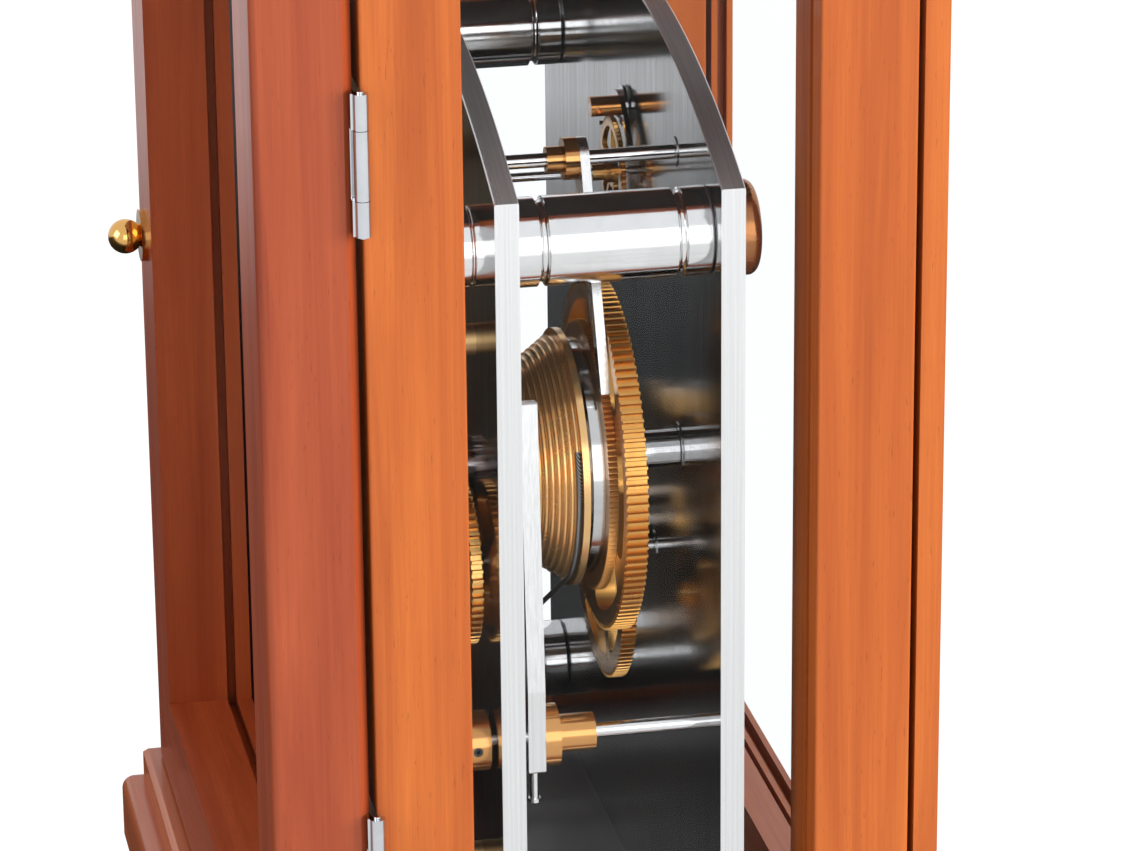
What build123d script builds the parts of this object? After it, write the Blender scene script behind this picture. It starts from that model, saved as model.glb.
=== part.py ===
"""Mantel clock in a glazed cherry case, with a plated fusee movement.

The frame: X to the right as one faces the dial, Y to the back, Z up, in millimetres.
The origin is the middle of the clock's footprint, on the surface that it stands on.
"""
from build123d import *
from math import atan2, cos, degrees, hypot, pi, radians, sin, sqrt
import os

os.makedirs("parts", exist_ok=True)

# ---------------------------------------------------------------- case
case_half_width = 104.0
case_front_y = -47.1
post_width = 21.0
post_depth = 19.5
side_opening = 70.0
easing = 0.5

foot_height = 6.0
foot_radius = 11.0
foot_inset = 16.0
plinth_height = 24.0
plinth_step_height = 8.0
plinth_overhang = 10.0
plinth_step_overhang = 5.0
bottom_rail_height = 16.0
opening_height = 236.0
top_rail_height = 18.0
top_board_height = 14.0
top_step_height = 4.0
top_overhang = 8.0
top_step_overhang = 3.0
side_rail_thickness = 11.0
cross_rail_thickness = 7.5

glass_thickness = 2.0
glass_groove_depth = 3.0
glass_clearance = 0.1
side_glass_inset = 7.7

door_gap = 1.3
door_thickness = 19.5
door_edge_gap = 1.0
door_stile_width = 24.0
door_rail_height = 22.0
door_chamfer = 2.0
door_glass_inset = 4.6
rear_door_gap = 1.2
rear_door_thickness = 5.0

knob_height = 165.0
knob_inset = 12.0
knob_rose_radius = 6.0
knob_ball_radius = 4.0
knob_neck_radius = 2.4
knob_reach = 8.6

hinge_length = 28.3
hinge_middle_knuckle = 13.8
hinge_knuckle_gap = 0.15
hinge_radius = 1.55
hinge_pin_radius = 0.75
hinge_pin_clearance = 0.05
hinge_leaf_thickness = 0.9
hinge_leaf_width = 11.3
hinge_standoff = 1.5
hinge_end_distance = 45.0
hinge_pin_head = 0.5

seat_thickness = 10.0
seat_half_width = 90.0
seat_front_y = -26.0
seat_back_y = 42.0

# ---------------------------------------------------------------- movement frame
plate_half_width = 91.5
plate_thickness = 4.9
plate_gap = 40.3
plate_front_y = -19.5
plate_arch_rise = 19.3
plate_shoulder_height = 185.6
plate_easing = 0.25

pillar_radius = 9.0
pillar_x = 77.6
upper_pillar_drop = 12.5
lower_pillar_drop = 168.0
pillar_groove_radius = 0.95
pillar_groove_inset = 6.3
pillar_spigot_radius = 3.0
pillar_spigot_reach = 2.6
spigot_clearance = 0.05
rear_nut_radius = 9.6
rear_nut_thickness = 4.7
rear_nut_rounding = 1.8
front_nut_radius = 8.2
front_nut_thickness = 7.3
front_nut_rounding = 1.2

pivot_clearance = 0.04
end_shake = 0.15
bushing_radius = 5.2
bushing_line = 0.25

# ---------------------------------------------------------------- fusee and great wheel
fusee_x = 51.64
fusee_drop = 68.1
fusee_arbor_radius = 3.95
fusee_front_radius = 3.0
fusee_pivot_radius = 2.5
bore_clearance = 0.05
winding_square = 4.2
winding_square_end = 22.0
fusee_large_radius = 25.75
fusee_slope = 0.74
fusee_curve = 0.0035
fusee_groove_pitch = 1.15
fusee_groove_depth = 0.5
fusee_groove_share = 0.84
fusee_groove_count = 12
fusee_front = 5.4
flange_radius = 26.7
flange_thickness = 1.4
flange_rear = 21.35
cable_radius = 0.55
cable_clearance = 0.09
cable_start_angle = 22.0
drum_front = 22.4
drum_thickness = 2.05
drum_radius = 24.5
drum_lip_thickness = 0.45
drum_lip_radius = 24.1
drum_hub_radius = 17.0
ratchet_front = 24.97
ratchet_thickness = 1.85
ratchet_radius = 28.0
ratchet_tooth_depth = 0.7
ratchet_teeth = 150
great_front = 26.9
great_thickness = 4.35
great_teeth = 120
great_module = 0.6
great_rim = 4.2
great_hub_radius = 11.0
great_spokes = 6
great_spoke_width = 4.6
great_spoke_phase = 30.0
great_window_rounding = 3.6
spring_recess_depth = 1.3
spring_outer_radius = 19.0
spring_width = 2.0
spring_opening = 40.0

# ---------------------------------------------------------------- going train
pinion_leaves = 12
second_direction = -128.3
second_front = 33.0
second_thickness = 2.9
second_teeth = 108
second_module = 0.5
second_rim = 4.2
second_spoke_phase = -63.0
second_spoke_width = 3.4
centre_front = 6.2
centre_thickness = 1.9
centre_teeth = 112
centre_module = 0.5
third_front = 12.0
third_thickness = 1.6
third_teeth = 115
third_module = 0.5
train_rim = 3.2
train_spoke_width = 2.6
train_spokes = 5
arbor_radius = 1.25
pivot_radius = 0.9
centre_arbor_radius = 1.5

escape_drop = 23.7
escape_front = 41.8
escape_thickness = 1.1
escape_radius = 12.0
escape_teeth = 60
escape_tooth_depth = 1.1
escape_spoke_width = 1.1
escape_arbor_radius = 1.0
escape_pivot_radius = 0.6
escape_collet_radius = 2.4
escape_collet_small_radius = 1.8
escape_collet_length = 4.2
escape_collet_step = 1.9

# ---------------------------------------------------------------- pallets and pendulum
pallet_drop = 9.3
pallet_arbor_radius = 1.1
pallet_hub_radius = 2.35
pallet_hub_length = 7.3
pallet_hub_flat = 1.5
pallet_hub_hole = 0.7
pallet_disc_radius = 4.5
pallet_span_angle = 56.0
pallet_clearance = 1.0
pallet_width = 0.9
anchor_thickness = 1.1
pendulum_offset = 4.0
pendulum_length = 118.0
pendulum_rod_radius = 1.2
pendulum_rod_tail = 27.0
pendulum_collet_radius = 3.2
pendulum_collet_length = 5.6
bob_radius = 18.0
bob_half_thickness = 3.0
bob_rounding = 2.2
rating_nut_radius = 3.2
rating_nut_height = 3.5
cock_leg_x = 13.0
cock_leg_width = 6.0
cock_reach = 10.2
cock_thickness = 2.6
cock_bar_half_width = 4.0
cock_bar_above = 3.6
cock_bar_length = 13.0
cock_foot_height = 8.0

# ---------------------------------------------------------------- maintaining detent and stop work
detent_x = 48.83
detent_drop = 4.9
detent_arbor_radius = 1.5
detent_pivot_radius = 1.1
detent_hub_front = 18.3
detent_hub_radius = 2.7
detent_hub_length = 3.5
detent_flange_radius = 4.35
detent_lever_front = 24.75
detent_lever_thickness = 1.9
detent_lever_width = 4.2
detent_tip_x = 72.6
detent_tip_drop = 47.6
detent_nose_clearance = 0.35

stop_x = 77.8
stop_drop = 118.6
stop_arbor_radius = 1.5
stop_lever_front = 6.9
stop_lever_thickness = 3.6
stop_lever_top = 72.6
stop_lever_bottom = 6.0
stop_lever_top_inner = -6.0
stop_lever_top_outer = -2.5
stop_lever_bottom_inner = -4.0
stop_lever_bottom_outer = 3.8
stop_flange_radius = 6.4
stop_flange_length = 3.3
stop_hub_radius = 3.9
stop_hub_length = 7.7
stop_pin_radius = 0.95
stop_pin_length = 6.8
stop_pin_foot_radius = 1.3
stop_pin_foot = 0.8
stop_collar_radius = 6.2
stop_collar_front = -8.0
stop_collar_back = -0.7
grub_radius = 1.0
grub_depth = 2.2

# ---------------------------------------------------------------- barrel
barrel_x = -46.0
barrel_drop = 120.8
barrel_front = 10.2
barrel_length = 18.4
barrel_radius = 28.3
barrel_flange_radius = 30.6
barrel_flange_thickness = 1.2
barrel_wall = 1.8
barrel_arbor_radius = 6.0
barrel_pivot_radius = 3.5
barrel_ratchet_radius = 8.5
barrel_ratchet_teeth = 24
barrel_ratchet_thickness = 2.4
mainspring_inner = 6.15
mainspring_pitch = 1.85
mainspring_strip = 0.9
mainspring_turns = 10
mainspring_margin = 1.2
cable_turns = 6
cable_pitch = 1.2
cable_barrel_wrap = 200.0

# ---------------------------------------------------------------- motion work, reserve work, dial
motion_module = 0.6
cannon_leaves = 18
minute_teeth = 54
hour_pinion_leaves = 15
hour_teeth = 60
minute_direction = -135.0
motion_front = -3.9
motion_thickness = 2.2
hour_wheel_front = -8.0
hour_wheel_thickness = 1.8
stud_radius = 1.4
fine_stud_radius = 0.9
third_stud_radius = 1.2
stud_clearance = 0.04
reserve_leaves = 18
reserve_teeth = 54
reserve_direction = -46.9
reserve_pinion_leaves = 8
indicator_teeth = 60
indicator_direction = -135.0
indicator_front = -7.6
indicator_thickness = 1.6
indicator_arbor_radius = 1.2

dial_distance = 18.5
dial_thickness = 2.0
dial_half_width = 81.0
dial_bottom = 8.0
dial_shoulder_drop = 3.6
dial_arch_rise = 16.0
dial_foot_radius = 3.2
dial_foot_x = 66.0
dial_upper_foot_drop = 36.0
dial_lower_foot_drop = 150.0
chapter_outer = 80.0
chapter_inner = 64.0
chapter_thickness = 1.2
winding_hole_radius = 4.5
hour_pipe_inner = 2.5
hour_pipe_outer = 3.4
hour_pipe_hole = 3.7
cannon_pipe_outer = 2.42
hand_thickness = 0.9
hour_hand_length = 50.0
minute_hand_length = 73.0
reserve_hand_length = 8.5
hour_hand_gap = 1.1
minute_hand_gap = 1.0

# ---------------------------------------------------------------- worked-out places
plinth_top = foot_height + plinth_height
opening_bottom = plinth_top + bottom_rail_height
opening_top = opening_bottom + opening_height
frame_top = opening_top + top_rail_height
case_top = frame_top + top_board_height
front_post_back = case_front_y + post_depth
rear_post_front = front_post_back + side_opening
case_back_y = rear_post_front + post_depth
post_inner_x = case_half_width - post_width
rail_inner_x = case_half_width - side_rail_thickness
glass_x = case_half_width - side_glass_inset
door_back_y = case_front_y - door_gap
door_front_y = door_back_y - door_thickness
rear_door_front = case_back_y + rear_door_gap
rear_door_back = rear_door_front + rear_door_thickness
door_bottom = plinth_top + door_edge_gap
door_top = frame_top - door_edge_gap
seat_top = plinth_top + seat_thickness
groove_half = glass_thickness / 2 + glass_clearance

shoulder_z = seat_top + plate_shoulder_height
plate_back_y = plate_front_y + plate_thickness
rear_plate_front = plate_back_y + plate_gap
rear_plate_back = rear_plate_front + plate_thickness


def depth(offset):
    """Distance behind the front face of the front plate, as a Y in the clock's frame."""
    return plate_front_y + offset


def turned_by(start, distance, direction):
    """The point at a distance and a direction, in degrees, from a point in the XZ plane."""
    x = start[0] + distance * cos(radians(direction))
    z = start[1] + distance * sin(radians(direction))
    return x, z


def direction_from(start, end):
    return degrees(atan2(end[1] - start[1], end[0] - start[0]))


fusee = (fusee_x, shoulder_z - fusee_drop)
great_radius = great_teeth * great_module / 2
great_pinion_radius = pinion_leaves * great_module / 2
second = turned_by(fusee, great_radius + great_pinion_radius, second_direction)
second_radius = second_teeth * second_module / 2
second_distance = second_radius + pinion_leaves * second_module / 2
centre = (0.0, second[1] + sqrt(second_distance ** 2 - second[0] ** 2))
escape = (0.0, shoulder_z - escape_drop)
centre_radius = centre_teeth * centre_module / 2
third_distance = centre_radius + pinion_leaves * centre_module / 2
third_radius = third_teeth * third_module / 2
escape_distance = third_radius + pinion_leaves * third_module / 2
centre_to_escape = escape[1] - centre[1]
third_rise = (third_distance ** 2 - escape_distance ** 2 + centre_to_escape ** 2) / (2 * centre_to_escape)
third = (-sqrt(third_distance ** 2 - third_rise ** 2), centre[1] + third_rise)
pallet = (0.0, shoulder_z - pallet_drop)
detent = (detent_x, shoulder_z - detent_drop)
stop = (stop_x, shoulder_z - stop_drop)
barrel_axis = (barrel_x, shoulder_z - barrel_drop)
minute_radius = minute_teeth * motion_module / 2
minute_distance = minute_radius + cannon_leaves * motion_module / 2
minute_axis = turned_by(centre, minute_distance, minute_direction)
hour_module = 2 * minute_distance / (hour_pinion_leaves + hour_teeth)
reserve_distance = (reserve_leaves + reserve_teeth) * motion_module / 2
reserve = turned_by(fusee, reserve_distance, reserve_direction)
indicator_distance = (reserve_pinion_leaves + indicator_teeth) * motion_module / 2
indicator = turned_by(reserve, indicator_distance, indicator_direction)
pillar_places = [(side * pillar_x, shoulder_z - drop)
                 for drop in (upper_pillar_drop, lower_pillar_drop) for side in (1, -1)]

groove_y = depth(flange_rear - flange_thickness - cable_radius - cable_clearance)
cable_path_radius = fusee_large_radius - cable_radius
barrel_cable_radius = barrel_radius + cable_radius + cable_clearance
dial_back_y = depth(-dial_distance)
dial_front_y = dial_back_y - dial_thickness
chapter_front_y = dial_front_y - chapter_thickness
hour_hand_back = chapter_front_y - hour_hand_gap
minute_hand_back = hour_hand_back - hand_thickness - minute_hand_gap
pendulum_y = rear_plate_back + pendulum_offset


# ---------------------------------------------------------------- shared shapes
def across(x, y, z):
    """A drawing plane that faces the front of the clock, with its origin at the point."""
    return Plane(origin=(x, y, z), x_dir=(1, 0, 0), z_dir=(0, -1, 0))


def rod(axis, front, back, radius, mode=Mode.ADD):
    """A round bar that runs from front to back, added to the part being built."""
    with BuildSketch(across(axis[0], front, axis[1])) as disc:
        Circle(radius)
    extrude(disc.sketch, amount=front - back, mode=mode)


def block(x_range, y_range, z_range, mode=Mode.ADD):
    """A box between two limits on each axis, added to the part being built."""
    middle = [(low + high) / 2 for low, high in (x_range, y_range, z_range)]
    size = [abs(high - low) for low, high in (x_range, y_range, z_range)]
    with Locations(tuple(middle)):
        Box(*size, mode=mode)


def solid_of(outline, axis, front, back, mode=Mode.ADD):
    """A plate of a closed outline, from one depth to another, added to the part being built."""
    with BuildSketch(across(axis[0], front, axis[1])) as face:
        with BuildLine():
            Polyline(*outline, close=True)
        make_face()
    extrude(face.sketch, amount=front - back, mode=mode)


def wheel_flank(teeth, module, mate_leaves, fill=0.46, addendum=0.92, dedendum=1.15):
    """Radii and half angles down one side of a cycloidal wheel tooth, root first."""
    pitch_radius = teeth * module / 2
    rolling = mate_leaves * module / 4
    half = pi / teeth * fill
    flank = [(pitch_radius - dedendum * module, half), (pitch_radius, half)]
    for share in (0.55, 1.0):
        target = pitch_radius + addendum * module * share
        low, high = 0.0, pi * rolling / pitch_radius
        for _ in range(40):
            turn = (low + high) / 2
            arm = pitch_radius + rolling
            x = arm * cos(turn) - rolling * cos(arm * turn / rolling)
            y = arm * sin(turn) - rolling * sin(arm * turn / rolling)
            if hypot(x, y) < target:
                low = turn
            else:
                high = turn
        flank.append((target, max(half - atan2(y, x), half * 0.12)))
    return flank


def pinion_flank(leaves, module, fill=0.38, addendum=0.6, dedendum=1.35):
    """Radii and half angles down one side of a pinion leaf, root first."""
    pitch_radius = leaves * module / 2
    half = pi / leaves * fill
    tips = ((0.0, 1.0), (0.6, 0.8), (1.0, 0.36))
    flank = [(pitch_radius - dedendum * module, half)]
    flank += [(pitch_radius + addendum * module * share, half * width) for share, width in tips]
    return flank


def toothed(teeth, phase, flank):
    """The closed outline of a toothed wheel, with the middle of a tooth at the phase angle."""
    outline = []
    for tooth in range(teeth):
        middle = radians(phase) + 2 * pi * tooth / teeth
        side = [(radius, middle - half) for radius, half in flank]
        side += [(radius, middle + half) for radius, half in reversed(flank)]
        outline += [(radius * cos(angle), radius * sin(angle)) for radius, angle in side]
    return outline


def saw_toothed(teeth, radius, tooth_depth, lean, land=0.12, phase=0.0):
    """The closed outline of a ratchet wheel; lean is 1 or -1 for the way its teeth face."""
    outline = []
    for tooth in range(teeth):
        start = radians(phase) + 2 * pi * tooth / teeth
        step = 2 * pi / teeth
        corners = [(radius - tooth_depth, 0.0), (radius, 0.02), (radius, land), (radius - tooth_depth, 0.86)]
        if lean < 0:
            corners = [(r, 1 - share) for r, share in reversed(corners)]
        outline += [(r * cos(start + step * share), r * sin(start + step * share)) for r, share in corners]
    return outline


def mesh_phase(phase, teeth, mate_teeth, direction):
    """The phase of a wheel in mesh, so that its gap meets the other wheel's tooth."""
    return direction + 180 + (direction - phase) * teeth / mate_teeth + 180 / mate_teeth


def windows(axis, front, back, inner, outer, count, spoke, phase, rounding):
    """Cuts the spaces between a wheel's spokes."""
    with BuildSketch(across(axis[0], front, axis[1])) as spaces:
        Circle(outer)
        Circle(inner, mode=Mode.SUBTRACT)
        with PolarLocations((inner + outer) / 2, count, start_angle=phase):
            Rectangle(outer, spoke, mode=Mode.SUBTRACT)
        fillet(spaces.vertices(), rounding)
    extrude(spaces.sketch, amount=front - back, mode=Mode.SUBTRACT)


pieces = []


def finish(piece, name):
    """Labels a finished piece and lists it for writing."""
    piece.part.label = name
    pieces.append(piece)


# ---------------------------------------------------------------- case: plinth, feet, posts, rails, top
plinth_half_x = case_half_width + plinth_overhang
plinth_half_y = rear_door_back + plinth_overhang - 1.5
with BuildPart() as plinth:
    block((-plinth_half_x, plinth_half_x), (-plinth_half_y, plinth_half_y),
          (foot_height, plinth_top - plinth_step_height))
    lower_edges = plinth.edges().filter_by(Axis.Z, reverse=True).group_by(Axis.Z)[-1]
    fillet(lower_edges, 4.0)
    fillet(plinth.edges().filter_by(Axis.Z), 1.5)
    step_half_x = case_half_width + plinth_step_overhang
    step_half_y = plinth_half_y - plinth_overhang + plinth_step_overhang
    block((-step_half_x, step_half_x), (-step_half_y, step_half_y),
          (plinth_top - plinth_step_height, plinth_top))
    chamfer(plinth.edges().group_by(Axis.Z)[-1], 1.2)
finish(plinth, "plinth")

with BuildPart() as feet:
    foot_x = plinth_half_x - foot_inset
    foot_y = plinth_half_y - foot_inset
    with BuildSketch(Plane.XY):
        with Locations((foot_x, foot_y), (-foot_x, foot_y), (foot_x, -foot_y), (-foot_x, -foot_y)):
            Circle(foot_radius)
    extrude(amount=foot_height)
    fillet(feet.edges().group_by(Axis.Z)[0], 1.5)
finish(feet, "feet")


def post_pair(y_low, y_high):
    """A left and a right case post."""
    for side in (1, -1):
        block((side * post_inner_x, side * case_half_width), (y_low, y_high), (plinth_top, frame_top))


with BuildPart() as front_posts:
    post_pair(case_front_y, front_post_back)
    fillet(front_posts.edges().filter_by(Axis.Z), easing)
    for side in (1, -1):
        block((side * (glass_x - groove_half), side * (glass_x + groove_half)),
              (front_post_back - glass_groove_depth, front_post_back + 1),
              (opening_bottom - glass_groove_depth, opening_top + glass_groove_depth), Mode.SUBTRACT)
        for hinge_z in (door_top - hinge_end_distance - hinge_length / 2,
                        door_bottom + hinge_end_distance + hinge_length / 2):
            if side > 0:
                block((case_half_width - hinge_leaf_width, case_half_width + 1),
                      (case_front_y - 1, case_front_y + hinge_leaf_thickness),
                      (hinge_z - hinge_length / 2, hinge_z + hinge_length / 2), Mode.SUBTRACT)
finish(front_posts, "front_posts")

with BuildPart() as rear_posts:
    post_pair(rear_post_front, case_back_y)
    fillet(rear_posts.edges().filter_by(Axis.Z), easing)
    for side in (1, -1):
        block((side * (glass_x - groove_half), side * (glass_x + groove_half)),
              (rear_post_front - 1, rear_post_front + glass_groove_depth),
              (opening_bottom - glass_groove_depth, opening_top + glass_groove_depth), Mode.SUBTRACT)
        for hinge_z in (door_top - hinge_end_distance - hinge_length / 2,
                        door_bottom + hinge_end_distance + hinge_length / 2):
            if side < 0:
                block((-case_half_width - 1, -case_half_width + hinge_leaf_width),
                      (case_back_y - hinge_leaf_thickness, case_back_y + 1),
                      (hinge_z - hinge_length / 2, hinge_z + hinge_length / 2), Mode.SUBTRACT)
finish(rear_posts, "rear_posts")


def rail_ring(z_low, z_high, groove_low, groove_high):
    """Four rails between the posts; the side rails are grooved for the side glasses."""
    for side in (1, -1):
        block((side * rail_inner_x, side * case_half_width), (front_post_back, rear_post_front), (z_low, z_high))
        block((side * (glass_x - groove_half), side * (glass_x + groove_half)),
              (front_post_back, rear_post_front), (groove_low, groove_high), Mode.SUBTRACT)
    block((-post_inner_x, post_inner_x), (case_front_y, case_front_y + cross_rail_thickness), (z_low, z_high))
    block((-post_inner_x, post_inner_x), (case_back_y - cross_rail_thickness, case_back_y), (z_low, z_high))


with BuildPart() as bottom_rails:
    rail_ring(plinth_top, opening_bottom, opening_bottom - glass_groove_depth, opening_bottom + 1)
finish(bottom_rails, "bottom_rails")

with BuildPart() as top_rails:
    rail_ring(opening_top, frame_top, opening_top - 1, opening_top + glass_groove_depth)
finish(top_rails, "top_rails")

with BuildPart() as top_board:
    board_half_x = case_half_width + top_step_overhang
    board_half_y = rear_door_back + top_step_overhang - 1.5
    block((-board_half_x, board_half_x), (-board_half_y, board_half_y), (frame_top, frame_top + top_step_height))
    cap_half_x = case_half_width + top_overhang
    cap_half_y = rear_door_back + top_overhang - 1.5
    block((-cap_half_x, cap_half_x), (-cap_half_y, cap_half_y), (frame_top + top_step_height, case_top))
    fillet(top_board.edges().group_by(Axis.Z)[-1], 3.5)
finish(top_board, "top_board")

with BuildPart() as side_glasses:
    glass_reach = glass_groove_depth - glass_clearance
    for side in (1, -1):
        block((side * (glass_x - glass_thickness / 2), side * (glass_x + glass_thickness / 2)),
              (front_post_back - glass_reach, rear_post_front + glass_reach),
              (opening_bottom - glass_reach, opening_top + glass_reach))
finish(side_glasses, "side_glasses")

with BuildPart() as seat_board:
    block((-seat_half_width, seat_half_width), (seat_front_y, seat_back_y), (plinth_top, seat_top))
    chamfer(seat_board.edges().group_by(Axis.Z)[-1], 0.8)
finish(seat_board, "seat_board")

# ---------------------------------------------------------------- doors and hinges
hinge_heights = (door_top - hinge_end_distance - hinge_length / 2,
                 door_bottom + hinge_end_distance + hinge_length / 2)
door_hinge = (case_half_width + hinge_standoff, case_front_y - 0.25)
rear_hinge = (-case_half_width - hinge_standoff, case_back_y + 0.25)
door_glass_y = door_back_y - door_glass_inset
rear_glass_y = (rear_door_front + rear_door_back) / 2
door_opening_x = case_half_width - door_stile_width
door_opening_bottom = door_bottom + door_rail_height
door_opening_top = door_top - door_rail_height


def door_joinery(y_low, y_high, stile_inner, rail_low, rail_high):
    """Two stiles and two rails of a glazed door, as four separate pieces of wood."""
    for side in (1, -1):
        block((side * stile_inner, side * case_half_width), (y_low, y_high), (door_bottom, door_top))
    block((-stile_inner, stile_inner), (y_low, y_high), (door_bottom, rail_low))
    block((-stile_inner, stile_inner), (y_low, y_high), (rail_high, door_top))


with BuildPart() as door_frame:
    door_joinery(door_front_y, door_back_y, door_opening_x, door_opening_bottom, door_opening_top)
    outer_edges = door_frame.edges().filter_by(Axis.Z).filter_by(
        lambda edge: abs(abs(edge.center().X) - case_half_width) < 0.01)
    chamfer(outer_edges.group_by(Axis.Y)[-1], door_chamfer)
    outer_edges = door_frame.edges().filter_by(Axis.Z).filter_by(
        lambda edge: abs(abs(edge.center().X) - case_half_width) < 0.01)
    fillet(outer_edges.group_by(Axis.Y)[0], 1.5)
    block((-door_opening_x - glass_groove_depth, door_opening_x + glass_groove_depth),
          (door_glass_y - groove_half, door_glass_y + groove_half),
          (door_opening_bottom - glass_groove_depth, door_opening_top + glass_groove_depth), Mode.SUBTRACT)
    for hinge_z in hinge_heights:
        block((case_half_width - hinge_leaf_width, case_half_width + 1),
              (door_back_y - hinge_leaf_thickness, door_back_y + 1),
              (hinge_z - hinge_length / 2, hinge_z + hinge_length / 2), Mode.SUBTRACT)
finish(door_frame, "door_frame")

with BuildPart() as door_glass:
    block((-door_opening_x - glass_reach, door_opening_x + glass_reach),
          (door_glass_y - glass_thickness / 2, door_glass_y + glass_thickness / 2),
          (door_opening_bottom - glass_reach, door_opening_top + glass_reach))
finish(door_glass, "door_glass")

with BuildPart() as rear_door_frame:
    door_joinery(rear_door_front, rear_door_back, post_inner_x, opening_bottom, opening_top)
    block((-post_inner_x - glass_groove_depth, post_inner_x + glass_groove_depth),
          (rear_glass_y - groove_half, rear_glass_y + groove_half),
          (opening_bottom - glass_groove_depth, opening_top + glass_groove_depth), Mode.SUBTRACT)
    for hinge_z in hinge_heights:
        block((-case_half_width - 1, -case_half_width + hinge_leaf_width),
              (rear_door_front - 1, rear_door_front + hinge_leaf_thickness),
              (hinge_z - hinge_length / 2, hinge_z + hinge_length / 2), Mode.SUBTRACT)
finish(rear_door_frame, "rear_door_frame")

with BuildPart() as rear_door_glass:
    block((-post_inner_x - glass_reach, post_inner_x + glass_reach),
          (rear_glass_y - glass_thickness / 2, rear_glass_y + glass_thickness / 2),
          (opening_bottom - glass_reach, opening_top + glass_reach))
finish(rear_door_glass, "rear_door_glass")

with BuildPart() as door_knob:
    knob_axis = (-case_half_width + knob_inset, knob_height)
    rod(knob_axis, door_front_y - 1.4, door_front_y, knob_rose_radius)
    rod(knob_axis, door_front_y - knob_reach + knob_ball_radius, door_front_y - 1.4, knob_neck_radius)
    with Locations((knob_axis[0], door_front_y - knob_reach + knob_ball_radius, knob_axis[1])):
        Sphere(knob_ball_radius)
finish(door_knob, "door_knob")


def knuckle_spans(middle):
    """The height ranges of a hinge's three knuckles, as the middle one and the two ends."""
    half = hinge_middle_knuckle / 2
    centre_span = [(middle - half, middle + half)]
    end_spans = [(middle - hinge_length / 2, middle - half - hinge_knuckle_gap),
                 (middle + half + hinge_knuckle_gap, middle + hinge_length / 2)]
    return centre_span, end_spans


def hinge_leaf(axis, side, leaf_front, leaf_back, spans):
    """One leaf of each of the two hinges at an axis, with its knuckles and the pin's bore."""
    inner = side * (case_half_width - hinge_leaf_width)
    outer = side * (case_half_width - 0.2)
    for hinge_z, knuckles in zip(hinge_heights, spans):
        block((inner, outer), (leaf_front, leaf_back), (hinge_z - hinge_length / 2, hinge_z + hinge_length / 2))
        for low, high in knuckles:
            block((outer, axis[0]), (leaf_front, leaf_back), (low, high))
            with Locations((axis[0], axis[1], (low + high) / 2)):
                Cylinder(hinge_radius, high - low)
        with Locations((axis[0], axis[1], hinge_z)):
            Cylinder(hinge_pin_radius + hinge_pin_clearance, hinge_length + 2, mode=Mode.SUBTRACT)


middle_spans = [knuckle_spans(hinge_z)[0] for hinge_z in hinge_heights]
outer_spans = [knuckle_spans(hinge_z)[1] for hinge_z in hinge_heights]

with BuildPart() as door_hinge_leaves:
    hinge_leaf(door_hinge, 1, door_back_y - hinge_leaf_thickness, door_back_y, outer_spans)
finish(door_hinge_leaves, "door_hinge_leaves")

with BuildPart() as rear_hinge_leaves:
    hinge_leaf(rear_hinge, -1, rear_door_front, rear_door_front + hinge_leaf_thickness, outer_spans)
finish(rear_hinge_leaves, "rear_hinge_leaves")

with BuildPart() as case_hinge_leaves:
    hinge_leaf(door_hinge, 1, case_front_y, case_front_y + hinge_leaf_thickness, middle_spans)
    hinge_leaf(rear_hinge, -1, case_back_y - hinge_leaf_thickness, case_back_y, middle_spans)
finish(case_hinge_leaves, "case_hinge_leaves")

with BuildPart() as hinge_pins:
    pin_length = hinge_length + 2 * hinge_pin_head
    for axis in (door_hinge, rear_hinge):
        for hinge_z in hinge_heights:
            with Locations((axis[0], axis[1], hinge_z)):
                Cylinder(hinge_pin_radius, pin_length)
    fillet(hinge_pins.edges().filter_by(GeomType.CIRCLE), 0.2)
finish(hinge_pins, "hinge_pins")

# ---------------------------------------------------------------- movement: plates, pillars and their nuts
def arched_plate(half_width, z_bottom, z_shoulder, rise, front, back):
    """A flat plate with a shallow arched top, from one depth to another."""
    with BuildSketch(across(0, front, 0)) as outline:
        with BuildLine():
            Polyline((-half_width, z_shoulder), (-half_width, z_bottom),
                     (half_width, z_bottom), (half_width, z_shoulder))
            ThreePointArc((half_width, z_shoulder), (0, z_shoulder + rise), (-half_width, z_shoulder))
        make_face()
    extrude(outline.sketch, amount=front - back)


def pivot_holes(bearings, front, back):
    """Clears a hole for every pivot that turns in a plate."""
    for axis, radius in bearings:
        rod(axis, front, back, radius + pivot_clearance, Mode.SUBTRACT)


front_bearings = [(fusee, fusee_front_radius), (second, pivot_radius), (centre, centre_arbor_radius),
                  (escape, escape_pivot_radius), (detent, detent_pivot_radius), (stop, stop_arbor_radius)]
rear_bearings = [(fusee, fusee_pivot_radius), (second, pivot_radius), (centre, pivot_radius),
                 (escape, escape_pivot_radius), (pallet, pallet_arbor_radius),
                 (detent, detent_pivot_radius), (stop, stop_arbor_radius)]

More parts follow.
